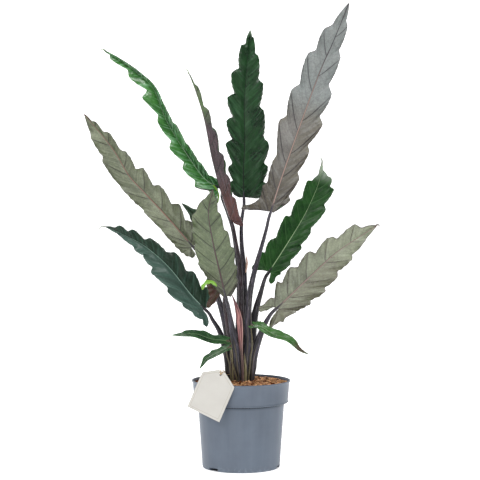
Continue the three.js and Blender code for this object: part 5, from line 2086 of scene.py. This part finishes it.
@dataclass
class CardLabel:
    """House-shaped card that leans on the rim, rolled to the right."""

    pot: NurseryPot
    touch_height: float = 184.3
    stand_off: float = 0.4
    width: float = 77.0
    side: float = 78.0
    height: float = 97.0
    top_flat: float = 16.0
    thickness: float = 1.0
    hole: float = 3.0
    hole_down: float = 7.0
    yaw: float = 17.7
    lean: float = 9.0
    roll: float = 22.0
    corner: Pair = (-81.0, -45.7)
    columns: int = 28
    rows: int = 36

    def __post_init__(self) -> None:
        """Works out the card's plane from the rim that it leans on."""
        yaw, lean, roll = (math.radians(v) for v in (self.yaw, self.lean, self.roll))
        outward = np.array([-math.sin(yaw), -math.cos(yaw), 0.0])
        across = np.array([math.cos(yaw), -math.sin(yaw), 0.0])
        upright = np.array([0.0, 0.0, 1.0])
        up = upright * math.cos(lean) - outward * math.sin(lean)
        self.normal = outward * math.cos(lean) + upright * math.sin(lean)
        touch = outward * self.pot.rim + upright * self.touch_height
        self.origin = touch + self.normal * self.stand_off + across * self.corner[0] + up * self.corner[1]
        self.x = across * math.cos(roll) - up * math.sin(roll)
        self.y = across * math.sin(roll) + up * math.cos(roll)

    def point(self, x: Any, y: Any, z: Any) -> np.ndarray:
        """Place on the card: to the right, up and out of its back face."""
        x, y, z = (np.atleast_1d(np.asarray(v, float)) for v in (x, y, z))
        return self.origin + x[:, None] * self.x + y[:, None] * self.y + z[:, None] * self.normal

    def at_hole(self, x: float, y: float, z: float) -> np.ndarray:
        """Place near the hole: right of and above its middle, and out of the card's back face."""
        return self.point(self.width / 2 + x, self.height - self.hole_down + y, z)[0]

    def build(self) -> None:
        """Models the card and hands it over."""
        card, across, up = add_grid("card_label_fine", self.columns, self.rows)
        up = up * self.height
        half = np.interp(up, [0.0, self.side, self.height], [self.width / 2, self.width / 2, self.top_flat / 2])
        set_points(card, np.column_stack([self.width / 2 + (2.0 * across - 1.0) * half, up, np.zeros(len(up))]))
        with_modifier(card, "SOLIDIFY", thickness=self.thickness * MM, offset=1.0)
        drill = add_primitive("card_drill", bpy.ops.mesh.primitive_cylinder_add, vertices=32, radius=self.hole * MM,
                              depth=0.01)
        set_points(drill, points_of(drill) / MM + (self.width / 2, self.height - self.hole_down, 0.0))
        cut_away(card, drill)
        x, y, z = (points_of(card) / MM).T
        edge = self._edge_distance(x, y)
        note(card, "card_marks", np.column_stack([edge, z > 0.5, edge]))
        bow = 0.9 * np.sin(math.pi * x / self.width) * (y / self.height - 0.35)
        dent = 0.25 * np.exp(-((x - 6) ** 2 + (y - 4) ** 2) / 60.0)
        set_points(card, self.point(x, y, z + np.maximum(bow, 0.0) + dent))
        dress(card, LABEL_CARD)
        hand_over(card, 30.0, "card_label", "card_label")

    def _edge_distance(self, x: np.ndarray, y: np.ndarray) -> np.ndarray:
        """Distance of points on the card from its outline.

        Args:
            x: Places to the right.
            y: Places upward.

        Returns:
            Millimetres from the nearest edge.
        """
        inset = (self.width - self.top_flat) / 2
        slope = math.atan2(self.height - self.side, inset)
        roof = [(self.height - y) * math.cos(slope) + (near - inset) * math.sin(slope) for near in (x, self.width - x)]
        return np.min([x, self.width - x, y, self.height - y, *roof], axis=0)


@dataclass
class LabelTwine:
    """Three-strand jute twine through the card's hole and round a leaf stalk."""

    FIRST_ACROSS: ClassVar[Triple] = (0.3, 0.2, 1.0)
    KNOT: ClassVar[tuple[Triple, ...]] = ((-1.6, 2.2, 0.4), (0.2, 3.2, 1.0), (1.4, 1.8, 0.6), (0.0, 0.6, 0.2),
                                          (-1.2, 1.4, 1.1), (-0.2, 2.8, 0.2))
    TAIL: ClassVar[tuple[Triple, ...]] = ((-0.3, 0.4, 0.1), (1.6, 3.0, 0.5), (3.6, 8.0, 1.2))

    card: CardLabel
    foot: Pair
    radius: float = 0.75
    strand_radius: float = 0.4
    winding_radius: float = 0.42
    pitch: float = 4.2
    ring_gap: float = 0.9
    clearance: float = 0.4

    def _path(self) -> list[np.ndarray]:
        """The closed loop.

        Returns:
            The points that it passes, in millimetres.
        """
        card, clear = self.card, self.radius + self.clearance
        front = [(-2.2, 3.4, card.thickness + clear), (-0.4, 0.0, card.thickness + clear - 0.3),
                 (0.0, -0.6, card.thickness / 2), (0.4, 0.0, -clear), (2.0, 6.0, -clear - 4)]
        back = [(-3.2, card.hole_down + clear + 1, -clear - 2),
                (-3.1, card.hole_down + clear + 0.7, card.thickness / 2),
                (-2.8, card.hole_down - 0.4, card.thickness + clear + 0.3)]
        reach = GROWN.stalk_soil + self.radius + 0.6
        ring = [np.array([self.foot[0] + reach * math.cos(a), self.foot[1] + reach * math.sin(a),
                          SOIL_EDGE + SOIL_RISE + 10 + 0.4 * i])
                for i, a in enumerate(np.radians(np.arange(245, 605, 30)))]
        return [*(card.at_hole(*p) for p in front), *ring, *(card.at_hole(*p) for p in back)]

    def _strand(self, name: str, way: Route, phase: float, loose: float) -> Piece:
        """One strand wound round the twine's middle line.

        Args:
            name: Name of the piece.
            way: The middle line.
            phase: Where round it the strand starts.
            loose: How far the strand flares at the far end.

        Returns:
            The strand.
        """
        count = max(int(way.length / self.ring_gap), 12)
        spots = np.linspace(0.0, way.length, count)
        tangents = way.tangent(spots)
        across = across_rings(tangents, self.FIRST_ACROSS)
        other = np.cross(tangents, across)
        angle = phase + 2 * math.pi * round(way.length / self.pitch) * spots / way.length
        flare = self.winding_radius + loose * (spots / way.length) ** 3
        line = way.point(spots) + across * (flare * np.cos(angle))[:, None] + other * (flare * np.sin(angle))[:, None]
        rod = Rod(name, 7, count)
        rod.lay(line, unit(np.gradient(line, axis=0)), rod.around(self.strand_radius), self.FIRST_ACROSS)
        rod.mark(ABOVE_LOW_TINT, 0.0, rod.share, way.length * rod.share)
        return rod.piece

    def build(self) -> None:
        """Models the twine and hands it over."""
        lift = self.card.thickness + self.radius + self.clearance
        tail, knot = ([self.card.at_hole(x, y, lift + z) for x, y, z in spots] for spots in (self.TAIL, self.KNOT))
        ways = (("loop", Route(self._path(), closed=True), 0.0), ("tail", Route(tail), 0.9),
                ("knot", Route(knot, closed=True), 0.0))
        twine = join("label_twine_fine", [
            self._strand(f"twine_{label}_{k}", way, 2 * math.pi * k / 3, loose)
            for label, way, loose in ways for k in range(3)])
        dress(twine, TWINE_JUTE)
        hand_over(twine, 60.0, "label_twine", "label_twine")


# ---------------------------------------------------------------- studio
@dataclass(frozen=True)
class SoftBox:
    """Oblong area light: where it stands and points, its width and height in metres, and its watts."""

    name: str
    place: Triple
    target: Triple
    size: Pair
    power: float
    mirrored: bool = True

    def build(self) -> None:
        """Adds the light."""
        data = bpy.data.lights.new(self.name, "AREA")
        data.shape = "RECTANGLE"
        data.size, data.size_y = self.size
        data.energy = self.power
        light = bpy.data.objects.new(self.name, data)
        light.visible_glossy = self.mirrored
        light.location = self.place
        light.rotation_euler = (Vector(self.target) - Vector(self.place)).to_track_quat("-Z", "Y").to_euler()
        bpy.context.collection.objects.link(light)


@dataclass
class Studio:
    """Pale floor and backdrop, soft lights and the photograph's camera.

    The sheet of paper is a floor that rises a little far away, then bends up to a wall.
    """

    floor_reach: float = 110000.0
    floor_sink: float = 0.2
    level_to: float = 30000.0
    far_slope: float = 0.03
    bend_at: float = 3000.0
    bend_radius: float = 1500.0
    sheet_end: float = 9000.0
    camera_place: Triple = (-0.0023, -3.2, 0.585)
    pitch: float = 1.85
    lens: float = 113.4
    sensor: float = 36.0
    view_reach: float = 200.0
    surround: float = 0.22

    boxes: tuple[SoftBox, ...] = (
        SoftBox("key_light", (-1.4, -2.9, 2.0), (0, 0, 0.5), (0.9, 0.9), 25.0, False),
        SoftBox("front_light", (0.6, -3.5, 1.4), (0, 0, 0.5), (1.2, 1.2), 12.0, False),
        SoftBox("fill_light", (2.3, -2.2, 1.1), (0, 0, 0.5), (0.9, 1.4), 6.0, False),
        SoftBox("strip_light", (1.05, -2.9, 0.9), (0, 0, 0.3), (0.3, 1.6), 5.0),
        SoftBox("left_strip", (-2.3, -1.3, 1.3), (0, 0, 0.5), (0.4, 1.8), 8.0),
        SoftBox("glint_light", (-2.0, -2.2, 2.6), (0, 0, 0.6), (0.3, 0.3), 3.0),
        SoftBox("top_light", (0.1, -0.6, 3.0), (0, 0, 0.4), (1.3, 0.9), 26.0),
        SoftBox("back_light", (-0.6, 1.8, 2.4), (0, 0, 0.55), (1.6, 1.0), 18.0),
    )

    def build(self) -> None:
        """Sets the stage, camera and lights."""
        self._backdrop()
        self._camera()
        self._surround()
        for box in self.boxes:
            box.build()

    def _backdrop(self) -> None:
        """One sheet of paper: floor, soft bend and back wall."""
        sheet, across, up = add_grid("studio_floor", 40, 500)
        walk = lerp(-self.floor_reach, self.sheet_end, up)
        turn = np.clip((walk - self.bend_at) / self.bend_radius, 0.0, math.pi / 2)
        over = np.maximum(walk - self.bend_at - self.bend_radius * math.pi / 2, 0.0)
        x = (2.0 * across - 1.0) * self.floor_reach
        y = np.minimum(walk, self.bend_at) + self.bend_radius * np.sin(turn)
        far = np.maximum(np.maximum(np.abs(x), -y) - self.level_to, 0.0)
        z = self.bend_radius * (1.0 - np.cos(turn)) + over + self.far_slope * far - self.floor_sink
        set_points(sheet, np.column_stack([x, y, z]))
        dress(sheet, STUDIO)
        shade(sheet, 60.0)

    def _camera(self) -> None:
        """Camera at the photograph's viewing angle."""
        data = bpy.data.cameras.new("photo_camera")
        data.lens = self.lens
        data.sensor_width = self.sensor
        data.clip_end = self.view_reach
        camera = bpy.data.objects.new("photo_camera", data)
        camera.location = self.camera_place
        camera.rotation_euler = (math.radians(90.0 - self.pitch), 0.0, 0.0)
        bpy.context.collection.objects.link(camera)
        bpy.context.scene.camera = camera

    def _surround(self) -> None:
        """Even white light from all sides, and plain colours in the picture."""
        world = bpy.data.worlds.new("studio_surround")
        world.use_nodes = True
        background = world.node_tree.nodes["Background"]
        background.inputs[0].default_value = (1.0, 1.0, 1.0, 1.0)
        background.inputs[1].default_value = self.surround
        bpy.context.scene.world = world
        view = bpy.context.scene.view_settings
        view.view_transform = "Standard"
        view.look = "None"


# ---------------------------------------------------------------- the leaves' plans
LEAVES: tuple[LeafPlan, ...] = (
    LeafPlan(
        name="leaf_01_far_left", foot=(-20, 8),
        stalk=((-26, 6, 258), (-40, 2, 329), (-53, -2, 369), (-72, -7, 414)),
        rib=((-102, -12, 469), (-151, -45, 528), (-200, -80, 583), (-229, -100, 616), (-259, -122, 668),
             (-317, -140, 741)),
        face=((0, 0.9, 0.43), (0, 0.9, 0.43)),
        left=HalfOutline(((-12, 7), (-20, 14), (-16, 24), (2, 29)),
                         ((0.13, 31), (0.25, 36), (0.41, 34), (0.56, 32), (0.7, 19), (0.84, 13), (0.93, 6)), 0.26),
        right=HalfOutline(((-20, 7), (-24, 14), (-20, 20), (-8, 28)),
                          ((0.05, 33), (0.16, 34), (0.32, 34), (0.51, 35), (0.71, 37), (0.87, 26)), 0.17),
        fold=12, ripple=5, drop=5, upper=UPPER_DARK, under=UNDER_OLIVE, skin=STALK_VIOLET, groove=285),
    LeafPlan(
        name="leaf_02_upper_left", foot=(-7, 9),
        stalk=((-5, 12, 290), (-3, 12, 353), (-5, 15, 417), (-10, 18, 460), (-18, 20, 507), (-30, 20, 543),
               (-41, 18, 577)),
        rib=((-48, 14, 594), (-62, 15, 600), (-79, 20, 613), (-110, 32, 655), (-160, 48, 736), (-191, 60, 809),
             (-227, 68, 842), (-298, 80, 891)),
        face=((-0.2, -0.95, 0.1), (-0.33, -0.89, -0.25)),
        left=HalfOutline(((-4, 14), (-8, 30), (-14, 48), (-12, 57), (-1, 48), (8, 32), (15, 20)),
                         ((0.08, 35), (0.19, 29), (0.32, 28), (0.47, 20), (0.62, 34), (0.79, 20), (0.94, 7)), 0.4),
        right=HalfOutline(((-8, 8), (-10, 14), (2, 18)),
                          ((0.05, 21), (0.15, 26), (0.27, 26), (0.4, 30), (0.53, 23), (0.67, 13), (0.9, 12)), 0.3),
        fold=46, ripple=4, drop=-5, upper=UPPER_BRIGHT, under=UNDER_WINE, skin=STALK_DARK, groove=90, crumple=1.8,
        frill=0.5, hook_skin=DRIP_GREEN,
        hook=((-293, 79, 888.5), (-299, 80, 892), (-303, 80, 889.5), (-302.5, 79, 885))),
    LeafPlan(
        name="leaf_03_rolled", foot=(-2, -5),
        stalk=((0, -4, 291), (-1, -2, 376), (-4, 0, 435), (-11, 2, 477)),
        rib=((-21, 5, 524), (-37, 2, 569), (-60, -2, 651), (-78, -6, 739), (-95, -8, 794), (-112, -8, 838)),
        face=((0.95, 0, 0.3), (0.95, 0, 0.3)),
        left=HalfOutline(((-10, 8), (-17, 18), (-20, 27), (-8, 28), (4, 25)),
                         ((0.12, 27), (0.27, 28), (0.42, 26), (0.57, 21), (0.72, 13), (0.88, 8)), 0.2),
        right=HalfOutline(((-6, 9), (-10, 16), (-8, 22), (4, 23)),
                          ((0.1, 27), (0.24, 28), (0.38, 27), (0.58, 22), (0.72, 13), (0.87, 8)), 0.2),
        fold=77, ripple=2, drop=0, upper=UPPER_MIDDLE, under=UNDER_PURPLE, skin=STALK_BROWN, groove=240, crumple=0.8,
        frill=0.3, hook_skin=DRIP_GREEN,
        hook=((-110, -8, 831), (-112.5, -8.5, 839), (-116, -9, 842), (-120, -9, 840.5))),
    LeafPlan(
        name="leaf_04_upper_middle", foot=(7, 6),
        stalk=((7, 8, 290), (7, 10, 364), (6, 13, 420), (1, 17, 473), (1, 20, 519)),
        rib=((6, 22, 572), (5, 32, 621), (8, 48, 695), (7, 68, 770), (12, 90, 846), (20, 118, 937)),
        face=((0, -0.97, 0.25), (0, -0.97, 0.25)),
        left=HalfOutline(((-1, 10), (2, 17), (9, 24), (18, 28)),
                         ((0.08, 31), (0.16, 34), (0.3, 42), (0.44, 40), (0.57, 38), (0.72, 33), (0.89, 17)), 0.34),
        right=HalfOutline(((-2, 12), (-4, 34), (2, 44), (11, 48)),
                          ((0.06, 52), (0.17, 54), (0.3, 54), (0.49, 44), (0.66, 40), (0.83, 25), (0.95, 9)), 0.2),
        fold=14, ripple=5, drop=4, upper=UPPER_DARK, under=UNDER_WINE, skin=STALK_VIOLET, groove=255, crumple=0.9,
        frill=1.6),
    LeafPlan(
        name="leaf_05_upper_right", foot=(9.5, -13),
        stalk=((15, -15, 271), (15, -18, 328), (19, -21, 373), (28, -25, 416), (40, -29, 459), (53, -34, 506)),
        rib=((62, -38, 542), (81, -50, 603), (120, -72, 716), (166, -95, 841), (185, -103, 883), (219, -120, 967)),
        face=((0.05, 0.98, 0.17), (0.05, 0.98, 0.17)),
        left=HalfOutline(((1, 6), (10, 12), (20, 19)),
                         ((0.07, 33), (0.18, 37), (0.31, 38), (0.45, 45), (0.59, 41), (0.76, 29), (0.9, 16)), 0.26),
        right=HalfOutline(((-1, 20), (-10, 42), (-13, 63), (-4, 58), (1, 46), (22, 31)),
                          ((0.1, 33), (0.21, 29), (0.4, 45), (0.55, 42), (0.72, 38), (0.85, 28)), 0.24),
        fold=12, ripple=6, drop=5, upper=UPPER_DARK, under=UNDER_GREY, skin=STALK_VIOLET, groove=300,
        vein_lead=1.75),
    LeafPlan(
        name="leaf_06_right", foot=(22, 2),
        stalk=((22, 2, 258), (26, 2, 305), (32, 1, 336), (41, -1, 368)),
        rib=((59, 0, 414), (85, 22, 452), (130, 62, 521), (148, 80, 554), (171, 98, 609), (176, 98, 646)),
        face=((0.1, -0.9, 0.35), (0.1, -0.9, 0.35)),
        left=HalfOutline(((-10, 20), (-19, 34), (-8, 37), (1, 35)),
                         ((0.085, 39), (0.21, 36), (0.45, 36), (0.63, 31), (0.83, 26), (0.9, 7), (0.97, 3.5)), 0.24),
        right=HalfOutline(((-19, 10), (-22, 18), (-12, 22), (-4, 19)),
                          ((0.02, 25), (0.13, 31), (0.29, 33), (0.43, 32), (0.66, 38), (0.83, 37), (0.9, 25),
                           (0.94, 6), (0.98, 3)), 0.2),
        fold=14, ripple=5, drop=5, upper=UPPER_CAPPED, under=UNDER_WINE, skin=STALK_BLACK, groove=170, swell=1.0,
        hook_wide=2.2, hook=((175.6, 97.5, 641), (176.5, 97, 651), (173, 94, 657), (165, 92, 656))),
    LeafPlan(
        name="leaf_07_lower_right", foot=(22.5, -14),
        stalk=((25, -16, 228), (31, -19, 254), (41, -24, 284), (51, -30, 308), (62, -35, 327)),
        rib=((75, -40, 341), (104, -55, 370), (135, -72, 401), (196, -104, 460), (246, -130, 496),
             (275, -142, 516)),
        face=((0.15, 0.87, 0.45), (0.15, 0.87, 0.45)),
        left=HalfOutline(((-24, 8), (-37, 13), (-44, 21), (-34, 26), (-22, 28), (-18, 34), (-7, 31)),
                         ((0.05, 41), (0.18, 48), (0.33, 52), (0.48, 46), (0.67, 37), (0.85, 18)), 0.22),
        right=HalfOutline(((-10, 9), (-30, 16), (-29, 28), (-11, 25), (5, 25), (13, 19), (25, 29)),
                          ((0.14, 39), (0.3, 43), (0.48, 39), (0.66, 34), (0.87, 26)), 0.22),
        fold=12, ripple=6, drop=5, upper=UPPER_DARK, under=UNDER_SAGE, skin=STALK_VIOLET, groove=230, swell=0.7,
        crumple=1.9, frill=1.3, vein_lead=1.15, hook_wide=2.8,
        hook=((270, -139.5, 512.5), (275.5, -142, 517), (279, -143, 516), (278.5, -143, 511)), hook_skin=DRIP_BROWN),
    LeafPlan(
        name="leaf_08_front_left", foot=(-3, -19),
        stalk=((-9, -23, 247), (-16, -31, 281), (-23, -43, 320), (-28, -54, 350)),
        rib=((-32, -62, 367), (-42, -78, 410), (-58, -108, 483), (-66, -132, 543), (-57, -148, 588)),
        face=((0.15, 0.95, 0.3), (0.15, 0.95, 0.3)),
        left=HalfOutline(((-4, 10), (4, 17), (14, 25)),
                         ((0.12, 33), (0.25, 37), (0.42, 41), (0.58, 34), (0.77, 25), (0.92, 13)), 0.1),
        right=HalfOutline(((2, 8), (12, 15), (24, 22)),
                          ((0.18, 31), (0.32, 44), (0.48, 43), (0.64, 42), (0.76, 36), (0.88, 17)), 0.12),
        fold=10, ripple=3.5, drop=5, upper=UPPER_DARK, under=UNDER_GREEN, skin=STALK_VIOLET, groove=290, swell=0.7,
        frill=0.7, vein_lead=1.05),
    LeafPlan(
        name="leaf_09_behind_left", foot=(-15.5, -15),
        stalk=((-18, -16, 252), (-25, -20, 286), (-31, -27, 324), (-35, -34, 358)),
        rib=((-36, -40, 387), (-61, -46, 446), (-79, -50, 492), (-98, -50, 535), (-124, -45, 560)),
        face=((0.3, -0.9, 0.15), (0.3, -0.9, 0.15)),
        left=HalfOutline(((-14, 20), (-22, 40), (-26, 58), (-16, 58), (-8, 46), (6, 42)),
                         ((0.12, 40), (0.28, 30), (0.45, 26), (0.62, 22), (0.82, 13)), 0.2),
        right=HalfOutline(((-14, 6), (-18, 12), (-6, 20)),
                          ((0.1, 24), (0.28, 26), (0.46, 24), (0.64, 22), (0.84, 12)), 0.2),
        fold=20, ripple=3, drop=3, upper=UPPER_BRONZE, under=UNDER_WINE, skin=STALK_BROWN, groove=265, crumple=2.0,
        frill=1.8),
    LeafPlan(
        name="leaf_10_lower_left", foot=(-27, -6),
        stalk=((-28, -8, 223), (-36, -12, 260), (-46, -14, 290), (-61, -15, 315)),
        rib=((-77, -15, 337), (-103, -2, 362), (-157, 28, 425), (-209, 46, 468), (-261, 52, 495), (-292, 48, 509)),
        face=((0.15, -0.85, 0.42), (0.15, -0.85, 0.42)),
        left=HalfOutline(((-15, 7), (-29, 15), (-35, 26), (-28, 29), (-18, 23), (-4, 30), (10, 28)),
                         ((0.1, 35), (0.24, 43), (0.47, 42), (0.61, 27), (0.7, 25), (0.9, 6)), 0.26),
        right=HalfOutline(((1, 7), (2, 18), (8, 27)),
                          ((0.11, 38), (0.28, 34), (0.47, 33), (0.67, 20), (0.81, 19), (0.91, 14)), 0.26),
        fold=14, ripple=4.5, drop=5, upper=UPPER_BLUE, under=UNDER_WINE, skin=STALK_DARK, groove=120, crumple=0.4,
        frill=0.7, hook_wide=1.6, hook=((-290, 48, 508.5), (-298, 46, 509.5), (-304, 44, 505), (-304.5, 43, 499))),
    LeafPlan(
        name="young_leaf_11_pale", foot=(-21, -27), stalk=((-24, -31, 219), (-31, -37, 250)),
        rib=((-32, -42, 272), (-57, -54, 276), (-96, -66, 288), (-144, -76, 287)),
        face=((0.1, -0.8, 0.6), (0.1, -0.7, 0.7)),
        left=HalfOutline(((-8, 4), (-11, 8), (-4, 10)), ((0.1, 11), (0.4, 13), (0.72, 9)), 0.08),
        right=HalfOutline(((-8, 4), (-11, 8), (-4, 10)), ((0.14, 11), (0.44, 13), (0.76, 8)), 0.08),
        fold=14, ripple=1.5, drop=2, upper=UPPER_YOUNG, under=UNDER_YOUNG, skin=STALK_YOUNG, swell=0.0, crumple=0.6,
        frill=0.15, sway=0.8, gauge=YOUNG),
    LeafPlan(
        name="young_leaf_12_lowest", foot=(-9, -30), stalk=((-16, -38, 218), (-22, -50, 240)),
        rib=((-29, -60, 258), (-52, -70, 249), (-73, -76, 236), (-86, -80, 217)),
        face=((-0.3, -0.7, 0.65), (-0.3, -0.7, 0.65)),
        left=HalfOutline(((-6, 3), (-8, 6), (-3, 8)), ((0.12, 9), (0.42, 10.5), (0.72, 7)), 0.08),
        right=HalfOutline(((-6, 3), (-8, 6), (-3, 8)), ((0.12, 9), (0.42, 10.5), (0.72, 7)), 0.08),
        fold=14, ripple=1.2, drop=2, upper=UPPER_YOUNG, under=UNDER_YOUNG, skin=STALK_YOUNG, swell=0.0, crumple=0.5,
        frill=0.15, sway=0.6, gauge=YOUNG),
    LeafPlan(
        name="young_leaf_13_right", foot=(16, -27), stalk=((21, -29, 240), (24, -32, 266)),
        rib=((28, -38, 303), (52, -56, 297), (87, -72, 282), (141, -88, 248)),
        face=((0.2, -0.8, 0.6), (0.2, -0.65, 0.75)),
        left=HalfOutline(((-8, 4), (-11, 8), (-4, 10)), ((0.12, 11), (0.42, 13), (0.74, 8)), 0.08),
        right=HalfOutline(((-8, 4), (-11, 8), (-4, 10)), ((0.12, 11), (0.42, 13), (0.74, 8)), 0.08),
        fold=14, ripple=1.5, drop=2, upper=UPPER_YOUNG_TIPPED, under=UNDER_YOUNG_TIPPED, skin=STALK_YOUNG,
        swell=0.0, crumple=1.0, frill=0.3, sway=4.2, gauge=YOUNG),
)


def main() -> None:
    """Builds the studio and the plant, piece by piece."""
    logging.basicConfig(level=logging.INFO, format="%(name)s %(message)s")
    Studio().build()
    for plan in LEAVES:
        Leaf(plan).build()
    growth = NewGrowth()
    growth.build()
    pot = NurseryPot()
    pot.build()
    stems = [plan.foot for plan in LEAVES] + [growth.sheath_foot, growth.shoot_foot]
    BarkMulch(pot, stems).build()
    card = CardLabel(pot)
    card.build()
    LabelTwine(card, next(plan.foot for plan in LEAVES if plan.name == "leaf_10_lower_left")).build()
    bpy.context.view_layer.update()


if __name__ == "__main__":
    main()
